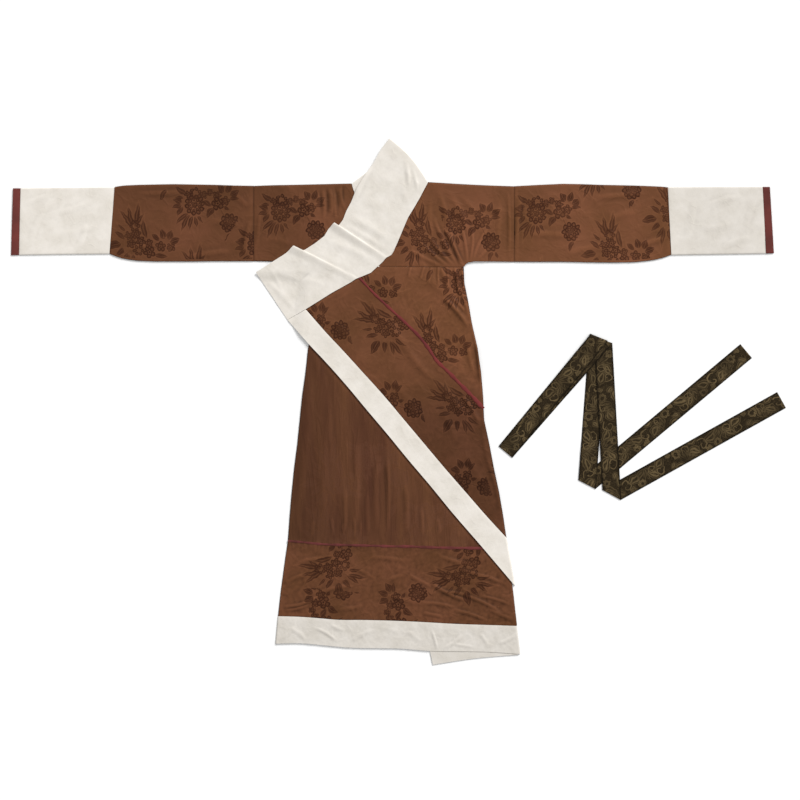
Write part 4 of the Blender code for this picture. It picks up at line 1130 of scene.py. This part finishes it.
OVER_BASE, OVER_HOLD, OVER_FALL = 5.2, 24.0, 36.0
BODICE_EASE_X, BODICE_EASE = 210.0, 100.0
UPPER_PIPING = (
    (-112, 355), (-70, 310), (-14, 257), (24, 222), (59, 187), (86, 153),
    (109, 118), (146, 82), (178, 49), (213, 14), (246, -22),
)
LAPEL_SEAM = (
    (-266, 264), (-200, 189), (-166, 153), (-103, 84), (-40, 14), (18, -55),
    (76, -124), (134, -193), (194, -262), (255, -332), (313, -395),
)
# The collar, a row for each line across it, from its end at the lapel up to the fold at the neck.
# Columns: x and y of its free edge, x and y of its sewn edge.
COLLAR_ROWS = np.array(
    [
        (-410, 371, -319, 234), (-387, 385, -266, 264), (-364, 400, -229, 287), (-329, 422, -191, 311),
        (-304, 440, -153, 332), (-276, 431, -119, 351), (-240, 454, -112, 355), (-213, 475, -78, 369),
        (-201, 495, -59, 387), (-188, 506, -47, 398), (-174, 502, -35, 411), (-159, 522, -21, 420),
        (-149, 548, -6, 447), (-135, 574, 7, 477), (-119, 614, 29, 528), (-96, 650, 46, 556),
        (-72, 685, 63, 585), (-50, 724, 75, 608), (-24, 758, 87, 631),
    ],
    float,
)
LAPEL_CORNER, UNDERARM_JOIN, WAIST_JOIN = 1, 6, 8
BODICE_CREASES = (
    (192, 384, 150, 500, 4, 2.8, 6), (186, 384, 122, 512, 4.5, 3.2, -5), (176, 386, 100, 540, 5, 2.8, 8),
    (166, 386, 84, 480, 4.5, 2.6, 5), (150, 386, 56, 466, 4.5, 2.2, 5), (130, 388, 30, 440, 5, 1.8, 4),
    (200, 392, 178, 520, 4, 2.4, -4), (206, 396, 214, 506, 4.5, 2.2, -4), (214, 400, 264, 506, 5, 2.2, 6),
    (226, 404, 300, 470, 5, 1.7, 4), (110, 622, 152, 430, 8, 2.2, 10), (138, 614, 212, 450, 9, 1.8, 10),
    (96, 600, 100, 470, 7, 1.4, -5), (316, 614, 320, 406, 5, 2.2, 3), (292, 600, 284, 430, 8, 1.5, 4),
    (60, 500, 40, 420, 7, 1.2, -4), (230, 560, 320, 540, 8, 1.2, 5), (170, 600, 236, 520, 8, 1.2, 6),
)
SIDE_CREASES = (
    (60, 372, 180, 250, 15.5, 3.2, 10), (212, 300, 236, 30, 8.5, 4.2, 6), (120, 392, 150, 300, 7.5, 3.2, 4),
    (138, 396, 146, 320, 3.5, 3.0, 2), (160, 396, 176, 290, 4, 3.8, 3), (180, 396, 190, 310, 3.5, 3.0, 2),
    (116, 396, 118, 326, 3.5, 2.8, -2), (96, 396, 84, 330, 4, 2.2, 2), (112, 306, 206, 202, 7, 4.5, 12),
    (170, 340, 204, 230, 6, 3.0, 6), (222, 200, 240, 20, 5, 3.5, 3), (200, 180, 226, 60, 7, 2.5, -5),
    (76, 396, 60, 344, 4, 2.0, 2), (40, 392, 30, 350, 4, 1.8, -2), (150, 300, 196, 252, 4, 2.2, 3),
    (60, 300, 130, 180, 15.5, 1.2, -12), (-60, 350, 20, 300, 12, 1.1, 5), (150, 150, 190, 60, 10, 1.2, 8),
)
LAPEL_CREASES = (
    (-240, 250, -120, 160, 14.5, 1.8, 12), (-60, 250, 40, 120, 11.5, 2.4, 10),
    (20, 160, 110, 60, 10.5, 2.6, -8), (100, 60, 200, -60, 11.5, 2.6, 8),
    (180, 20, 240, -80, 6.5, 3.0, 5), (-20, 60, 60, -60, 13, 1.6, 8), (240, -60, 286, -260, 8, 2.6, -6),
    (180, -140, 250, -260, 11.5, 1.8, 6), (262, -180, 300, -340, 6.5, 2.2, 4),
    (-160, 190, -60, 90, 13, 1.4, -8), (120, -20, 170, -130, 9, 1.6, 6),
)
BODICE_SPRAYS = (("A", 167, 510, 0), ("B", 57, 516, 0), ("B", 400, 352, 0))
SIDE_SPRAYS = (("B", -122, 378, 0), ("B", 80, 210, 0), ("A", 181, 334, 0))
LAPEL_SPRAYS = (
    ("B", -74, 240, 48), ("B", 135, 14, 48), ("A", -272, 164, 48), ("A", -61, -61, 48),
    ("A", 149, -286, 48), ("B", 310, -200, 48),
)


def over_base(place):
    """Underside of the over-wrap: level on the garment, and eased down to the floor past the left
    sleeve's lower fold and the body's left fold."""
    below_sleeve = LEFT_UNDERARM[1][1] - place[..., 1]
    left_of_body = np.interp(-place[..., 1], -SIDE_FOLDS[:, 0], SIDE_FOLDS[:, 1]) - place[..., 0]
    out = np.clip((np.minimum(below_sleeve, left_of_body) - OVER_HOLD) / OVER_FALL, 0, 1)
    return OVER_BASE * (1 - out * out * (3 - 2 * out))


def over_bodice_base(place):
    """Underside of the right bodice: it eases down to the level of its sleeve."""
    t = np.clip((place[..., 0] - BODICE_EASE_X) / BODICE_EASE, 0, 1)
    return OVER_BASE - (OVER_BASE - UNDER_BASE) * t * t * (3 - 2 * t)


def side_relief(place):
    """Creases and gathers of the side panel, mostly below the waist seam."""
    return creased(place, SIDE_CREASES) + uneven(place, 43, 70, 0.4) + crumple(place, 45, 80, 0.3)


def lapel_relief(place):
    """Creases of the lower front of the over-wrap."""
    return creased(place, LAPEL_CREASES) + uneven(place, 47, 90, 0.4) + crumple(place, 49, 110, 0.3)


sewn = COLLAR_ROWS[:, 2:4]
waist = np.linspace(sewn[WAIST_JOIN], (189, WAIST_Y), 9)
lower = np.concatenate([waist, RIGHT_UNDERARM[1:]])
armhole = np.linspace(lower[-1], RIGHT_SHOULDER[-1], 6)
bodice_right = panel(
    "robe_bodice_right",
    (smooth_line(sewn[WAIST_JOIN:], 60), armhole, lower, smooth_line(RIGHT_SHOULDER, 60)),
    ("seam", "seam", "seam", "fold"),
    over_bodice_base, SILK, figured_silk, 0, BODICE_SPRAYS, 2.7, (HALF_SEAM,) * 4,
    lambda place: creased(place, BODICE_CREASES) + uneven(place, 41, 80, 0.25),
)
declare(bodice_right)

top = smooth_line([sewn[WAIST_JOIN], (60, WAIST_Y), (189, WAIST_Y)], 40)
diagonal = smooth_line(UPPER_PIPING, 80)
side = side_fold("right", WAIST_Y, diagonal[-1][1])
side[0] = diagonal[-1]
side_panel = panel(
    "robe_side_panel",
    (sewn[UNDERARM_JOIN : WAIST_JOIN + 1], side, diagonal, top),
    ("seam", "fold", "cut", "seam"),
    over_base, SILK, figured_silk, 0, SIDE_SPRAYS, 3.6, (HALF_SEAM, 0, 1.2, HALF_SEAM),
    side_relief,
)
declare(side_panel)

lapel_line = smooth_line(LAPEL_SEAM, 90)
side = side_fold("right", diagonal[-1][1], lapel_line[-1][1])
side[0], side[-1] = lapel_line[-1], diagonal[-1]
lapel_panel = panel(
    "robe_lapel_panel",
    (sewn[LAPEL_CORNER : UNDERARM_JOIN + 1], side, lapel_line, diagonal),
    ("seam", "fold", "seam", "cut"),
    over_base, SILK, figured_silk, 48, LAPEL_SPRAYS, 3.8, (HALF_SEAM, 0, HALF_SEAM, 1.2),
    lapel_relief,
)
declare(lapel_panel)

lapel_low = smooth_line(LAPEL_EDGE, 90)
sides = [np.linspace(lapel_low[end], lapel_line[end], 6) for end in (0, -1)]


def lapel_band_relief(place):
    """Faint unevenness, and a free edge that stands up a little from what is under it."""
    lifted = 0.9 * np.exp(-beside_lapel(place) / 14)
    return uneven(place, 53, 60, 0.2) + crumple(place, 55, 70, 0.14) + lifted


lapel_band = panel(
    "robe_lapel_band",
    (*sides, lapel_low, lapel_line),
    ("seam", "fold", "cut", "seam"),
    over_base, BAND, cream_cloth, 0, (), (3.2, 3.6), (HALF_SEAM, 0, 0, 0.3),
    lapel_band_relief,
)
declare(lapel_band)
piping_diagonal = piping(
    "robe_piping_diagonal", UPPER_PIPING, (5.5, 10.5), over_base, 1.5,
    lambda place: np.maximum(side_relief(place), lapel_relief(place)), piping_cloth,
)
declare(piping_diagonal)

# Collar: wide doubled cream cloth. Its front crosses the breast with two pleats pushed up in it and
# folds over at the neck, one part goes behind the neck, and one runs down the under-wrap.

UNDER_COLLAR_EDGE = ((96, 388), (-62, 682))
NECK_LEFT = ((-98, NECK_SEAM_Y), (-58, 670), (-38, 704), (-23, 738))
NECK_RIGHT = ((80, NECK_SEAM_Y), (41, 664), (11, 701), (-18, 738))
NECK_BOW, NECK_GAP = 9.0, 1.0
SEWN_INSET, TURN_POINTS = 0.6, 9
# Pleats. Columns: x and y at the free edge, x and y at the sewn edge, half width, height, and how far
# its crest leans over towards the neck.
PLEATS = (
    (-306, 437, -122, 349, 8, 5.0, 9),
    (-190, 503, -37, 408, 8, 6.0, 10),
)
COLLAR_CREASES = (
    (-330, 420, -140, 345, 16, 1.6, 8), (-270, 446, -110, 372, 14, 1.4, -6),
    (-230, 470, -60, 395, 12, 1.6, 6), (-160, 540, -10, 450, 12, 1.8, 6),
    (-170, 515, -30, 432, 8, 1.2, 3), (-380, 380, -240, 320, 12, 1.0, 6),
    (-390, 350, -300, 275, 7, 0.9, 5), (-360, 330, -290, 262, 6, 0.8, -4),
    (-370, 384, -330, 300, 6, 0.8, 4), (-340, 360, -200, 330, 8, 0.8, 5), (22, 706, 28, 604, 6, 2.8, 4),
    (40, 684, 56, 596, 5, 2.0, 3), (10, 660, 30, 560, 9, 0.9, -3), (-60, 660, 30, 580, 14, 0.7, 6),
    (-20, 720, 20, 690, 10, 0.8, 3), (-110, 590, 0, 520, 14, 0.6, 5), (-132, 566, -76, 684, 9, 4.2, 3),
)


def turned_over(name, front, bow, base, relief, finish):
    """A band of the collar whose last row is its fold at the neck: its front lies on its base, and
    there it turns right over, as half a circle, down to the floor."""
    under = float(base(front[-1:])[0, -1])
    radius = under / 2
    along = np.gradient(front[-1], axis=0)
    out = left_of(along) / np.linalg.norm(along, axis=1)[:, None]
    out *= np.sign(((front[-1] - front[-2]) * out).sum(axis=1))[:, None]
    edge = front[-1] - out * (radius + BAND / 2 + NECK_GAP - bow[:, None])
    top = np.concatenate([front, (base(front) + BAND / 2)[..., None]], axis=2)
    top = relief(top)
    turn = []
    for angle in np.linspace(0, math.pi, TURN_POINTS):
        height = np.full((len(edge), 1), BAND / 2 + under - radius * (1 - math.cos(angle)))
        turn.append(np.concatenate([edge + out * radius * math.sin(angle), height], axis=1))
    middle = np.concatenate([top[:-3], turn])
    run = np.concatenate([front[:-3], np.repeat(front[-1:], TURN_POINTS, axis=0)])
    return sheet_of_cloth(name, middle, run, BAND, finish, flips=True)


def collar_relief(top):
    """Creases and unevenness, then the pleats: near each, points rise by a bell and lean over. Both
    fade out towards the fold at the neck."""
    place = top[..., :2]
    fade = np.clip((len(top) - 4 - np.arange(len(top))) / 12, 0, 1)[:, None]
    soft = creased(place, COLLAR_CREASES) + uneven(place, 61, 70, 0.22) + crumple(place, 63, 60, 0.16)
    top[..., 2] += np.maximum(soft + 0.2, 0) * fade
    for *line, half_width, rise, lean in PLEATS:
        along, aside, square = beside_line(place, *line)
        size = (1 - 0.75 * np.clip(along, 0, 1)) * np.exp(-((aside / half_width) ** 2)) * fade
        top[..., 2] += rise * size
        top[..., :2] += (lean * size)[..., None] * square
    return top


share = np.linspace(0, 1, 56)[None, :, None]
pick = np.linspace(0, len(COLLAR_ROWS) - 1, 290)
rows = [np.interp(pick, np.arange(len(COLLAR_ROWS)), COLLAR_ROWS[:, k]) for k in range(4)]
rows = np.stack(rows, axis=1)
front = rows[:, None, 0:2] * (1 - share) + rows[:, None, 2:4] * share
inward = front[:, -2] - front[:, -1]
front[:, -1] += inward / np.linalg.norm(inward, axis=1)[:, None] * SEWN_INSET
bow = NECK_BOW * np.sin(math.pi * share[0, :, 0])
collar = turned_over("robe_collar", front, bow, over_base, collar_relief, cream_cloth)
declare(collar)

sides = [smooth_line(line, 30) for line in (NECK_LEFT, NECK_RIGHT)]
ends = [np.linspace(sides[0][end], sides[1][end], 7) for end in (0, -1)]
collar_back = panel(
    "robe_collar_back",
    (*sides, *ends),
    ("cut", "cut", "cut", "cut"),
    0.0, BAND, cream_cloth, 0, (), 3.0, (0, 0, 0.3, 0),
    lambda place: 0.2 + uneven(place, 67, 50, 0.15),
)
declare(collar_back)
share = np.linspace(0, 1, 50)[None, :, None]
free_edge = np.linspace(*UNDER_COLLAR_EDGE, 80)
joined = smooth_line(UNDER_NECKLINE, 80)
front = free_edge[:, None] * (1 - share) + joined[:, None] * share
front[:, -1] += (front[:, -2] - front[:, -1]) * 0.1
collar_under = turned_over(
    "robe_collar_under", front, np.zeros(50), lambda place: np.full(place.shape[:-1], UNDER_BASE),
    lambda top: top, cream_cloth,
)
declare(collar_under)

# Belt: a long strip of brocade, folded lengthwise and sewn shut. It lies in a zigzag, doubled back on
# itself at the top and turned out to the right at the bottom.

BELT, BELT_WIDTH, BELT_PITCH = 1.2, 52.0, 1.6
# The belt's middle line, from the end at the lower right.
BELT_LINE = np.array(
    [(1105, 3), (615, -271), (591, 176), (309, -147), (578, 184), (544, -241), (1003, 144)], float
)
# Height of each stretch in layers of belt. Columns: share of the stretch, layers below it there.
BELT_LAYERS = (
    ((0.0, 0), (1.0, 0)),
    ((0.0, 1), (1.0, 1)),
    ((0.0, 2), (0.25, 2), (0.48, 0), (1.0, 0)),
    ((0.0, 1), (0.52, 1), (0.75, 3), (0.9, 3.3), (1.0, 5.2)),
    ((0.0, 0), (0.7, 0), (0.8, 1), (1.0, 1)),
    ((0.0, 0), (1.0, 0)),
)
# One repeat of the brocade along the belt, from -125 to 125. Columns as for the sprays.
BROCADE_REPEAT = 250.0
BROCADE = (
    ("leaf", (-122, -16), 30, 50, 0.6, 0.7),
    ("scroll", (-96, 8), 30, 17),
    ("leaf", (-88, 21), -34, 42, 0.55, 0.5),
    ("scroll", (-74, -8), 205, 14),
    ("fan", (-58, -25), 80, 47, 4, 26, 0.08, 0.34, 0.3),
    ("ring", (-31, 15), 0, 12, 6, 0.36),
    ("leaf", (-36, -18), 16, 48, 0.6, -0.7),
    ("scroll", (12, 2), 130, 19),
    ("blossom", (0, 20), 30, 11),
    ("leaf", (20, -21), 6, 36, 0.6, 0.4),
    ("leaf", (22, 22), -24, 50, 0.55, 0.6),
    ("scroll", (62, -10), 200, 14),
    ("fan", (68, 22), 236, 46, 4, 28, 0.08, 0.36, -0.3),
    ("ring", (92, -11), 0, 14, 7, 0.32),
    ("leaf", (82, 23), -12, 38, 0.6, -0.5),
    ("leaf", (104, 4), 42, 30, 0.5, 0.3),
    ("blossom", (118, -20), 10, 10),
)


OLIVE_GROUND, OLD_GOLD = (0.018, 0.0118, 0.0052), (0.126, 0.088, 0.041)


def brocade_material():
    """Belt brocade: a dark olive-brown ground in fine ribs, with scrolls, leaves and flowers in duller
    gold thread all over it, and painted shade darkening its last few millimetres to each edge and its
    hollows."""
    made, tree, shader = new_material("belt_brocade")
    cloth = on_cloth(tree, "cloth")
    low, high = (-BROCADE_REPEAT / 2, -100.0, -1.0), (BROCADE_REPEAT / 2, 100.0, 1.0)
    drawn = vector(tree, "WRAP", swayed(tree, cloth, 0.05, 16.0), high, low)
    field = figure(tree, drawn, BROCADE, 1.0)
    between = number(tree, "SINE", product(tree, noise(tree, cloth, 0.05, 1.0, 1.4)["Fac"], 52.0))
    gold = number(tree, "MAXIMUM", field, 0.0)
    gold = number(tree, "MAXIMUM", gold, ramp(tree, between, 0.7, -0.35, clamp=True))
    gold = product(tree, gold, ramp(tree, rim_of_figure(tree, field, 0.8), -0.9, 1.0))
    gold = product(tree, gold, ramp(tree, noise(tree, cloth, 0.02)["Fac"], 2.0, -0.2, clamp=True))
    tone = mixed(tree, gold, (*OLIVE_GROUND, 1), (*OLD_GOLD, 1))
    ribs = noise(tree, vector(tree, "MULTIPLY", cloth, (1.5, 0.2, 0.0)), 1.0)["Fac"]
    across = number(tree, "ABSOLUTE", vector(tree, "DOT_PRODUCT", cloth, (0.0, 1.0, 0.0)))
    # Painted shade over the last few millimetres to each edge and in the hollows
    edge = product(tree, ramp(tree, across, -0.17, 4.5, clamp=True), painted_hollow_shade(tree, 0.5, 1.0))
    shade = product(tree, ramp(tree, ribs, 0.6, 0.7), edge)
    tree.links.new(mixed(tree, 0.9, tone, shade, "MULTIPLY"), shader.inputs["Base Color"])
    tree.links.new(ramp(tree, gold, -0.12, 0.62), shader.inputs["Roughness"])
    tree.links.new(bumped(tree, ribs, 0.3, 0.0004), shader.inputs["Normal"])
    shader.inputs["Sheen Weight"].default_value = 0.02
    shader.inputs["Specular IOR Level"].default_value = 0.05
    return made


def fold_lines(ways):
    """The direction of the belt's edge at each point of its line: square to it at both ends, and
    halving its turn at a fold."""
    last = len(ways)
    across = [ways[0], *(ways[:-1] - ways[1:]), ways[last - 1]]
    return [left_of(way) / np.linalg.norm(way) for way in across]


def belt_surface(across, pitch):
    """The belt's middle surface and each point's place on its cloth: stretches between fold lines that
    halve the turn of the belt's line, with half circles at the folds."""
    ways = np.diff(BELT_LINE, axis=0)
    ways /= np.linalg.norm(ways, axis=1)[:, None]
    folds = fold_lines(ways)
    half, sides = BELT_WIDTH / 2, np.linspace(1.0, -1.0, across)
    rows, places, handed, run = [], [], 1.0, 0.0
    for k, way in enumerate(ways):
        square = left_of(way) * handed
        layers = np.asarray(BELT_LAYERS[k], float)
        ends, skews = [], []
        for end in (0, 1):
            fold = folds[k + end]
            reach = half / (fold @ square)
            corner = BELT_LINE[k + end] + fold * reach * sides[:, None]
            skews.append((corner - BELT_LINE[k + end]) @ way)
            out = left_of(fold)
            out *= np.sign(out @ (way if end else -way))
            other = k + (1 if end else -1)
            radius, shrink = 0.0, 0.0
            if 0 <= other < len(ways):
                here = BELT_LAYERS[k][-1 if end else 0][1]
                radius = BELT_PITCH / 2 * abs(BELT_LAYERS[other][0 if end else -1][1] - here)
                shrink = radius + BELT / 2
            ends.append(corner - out * shrink)
        length = np.linalg.norm(BELT_LINE[k + 1] - BELT_LINE[k])
        for share in np.linspace(0, 1, int(length / pitch)):
            height = BELT / 2 + BELT_PITCH * np.interp(share, layers[:, 0], layers[:, 1])
            place = ends[0] * (1 - share) + ends[1] * share
            rows.append(np.column_stack([place, np.full(across, height)]))
            skew_here = skews[0] * (1 - share) + skews[1] * share
            places.append(np.column_stack([run + length * share + skew_here, half * sides]))
        run += length
        if k < len(ways) - 1:
            start = BELT_LAYERS[k][-1][1]
            rising = np.sign(BELT_LAYERS[k + 1][0][1] - start)
            for angle in np.linspace(0, math.pi, 10)[1:-1]:
                height = BELT / 2 + BELT_PITCH * start + rising * radius * (1 - math.cos(angle))
                place = ends[1] + out * radius * math.sin(angle)
                rows.append(np.column_stack([place, np.full(across, height)]))
                places.append(np.column_stack([run + skews[1], half * sides]))
        handed = -handed
    return np.array(rows), np.array(places)


middle, places = belt_surface(15, 4.0)
belt = sheet_of_cloth("robe_belt", middle, places, BELT, brocade_material(), flips=True)
declare(belt)

# Floor, light and camera: a plain white floor under soft light from all round and a large lamp at the
# upper right, seen from straight above.

FRAME_WIDTH, CAMERA_HEIGHT = 2.3067, 5.0
FRAME_MIDDLE = (0.0052, 0.0029)
FLOOR_REACH, FLOOR_Z = 6, -0.0002

mesh = bpy.data.meshes.new("floor")
ring = ((-1, -1), (1, -1), (1, 1), (-1, 1))
mesh.from_pydata([(x * FLOOR_REACH, y * FLOOR_REACH, FLOOR_Z) for x, y in ring], [], [(0, 1, 2, 3)])
paper, tree, shader = new_material("floor")
shader.inputs["Base Color"].default_value = (0.93, 0.93, 0.93, 1)
shader.inputs["Roughness"].default_value = 0.9
shader.inputs["Specular IOR Level"].default_value = 0.0
mesh.materials.append(paper)
floor = bpy.data.objects.new("floor", mesh)
bpy.context.scene.collection.objects.link(floor)

world = bpy.data.worlds.new("studio")
world.use_nodes = True
world.node_tree.nodes["Background"].inputs["Color"].default_value = (1, 1, 1, 1)
world.node_tree.nodes["Background"].inputs["Strength"].default_value = 0.6
bpy.context.scene.world = world
light = bpy.data.lights.new("key", "SUN")
light.energy, light.angle = 3.1, math.radians(28)
key = bpy.data.objects.new("key", light)
key.rotation_euler = (math.radians(56), 0, math.radians(145))
bpy.context.scene.collection.objects.link(key)

lens = bpy.data.cameras.new("camera")
lens.sensor_width = 36.0
lens.lens = lens.sensor_width * CAMERA_HEIGHT / FRAME_WIDTH
camera = bpy.data.objects.new("camera", lens)
camera.location = (*FRAME_MIDDLE, CAMERA_HEIGHT)
bpy.context.scene.collection.objects.link(camera)
bpy.context.scene.camera = camera
bpy.context.scene.view_settings.view_transform = "Standard"
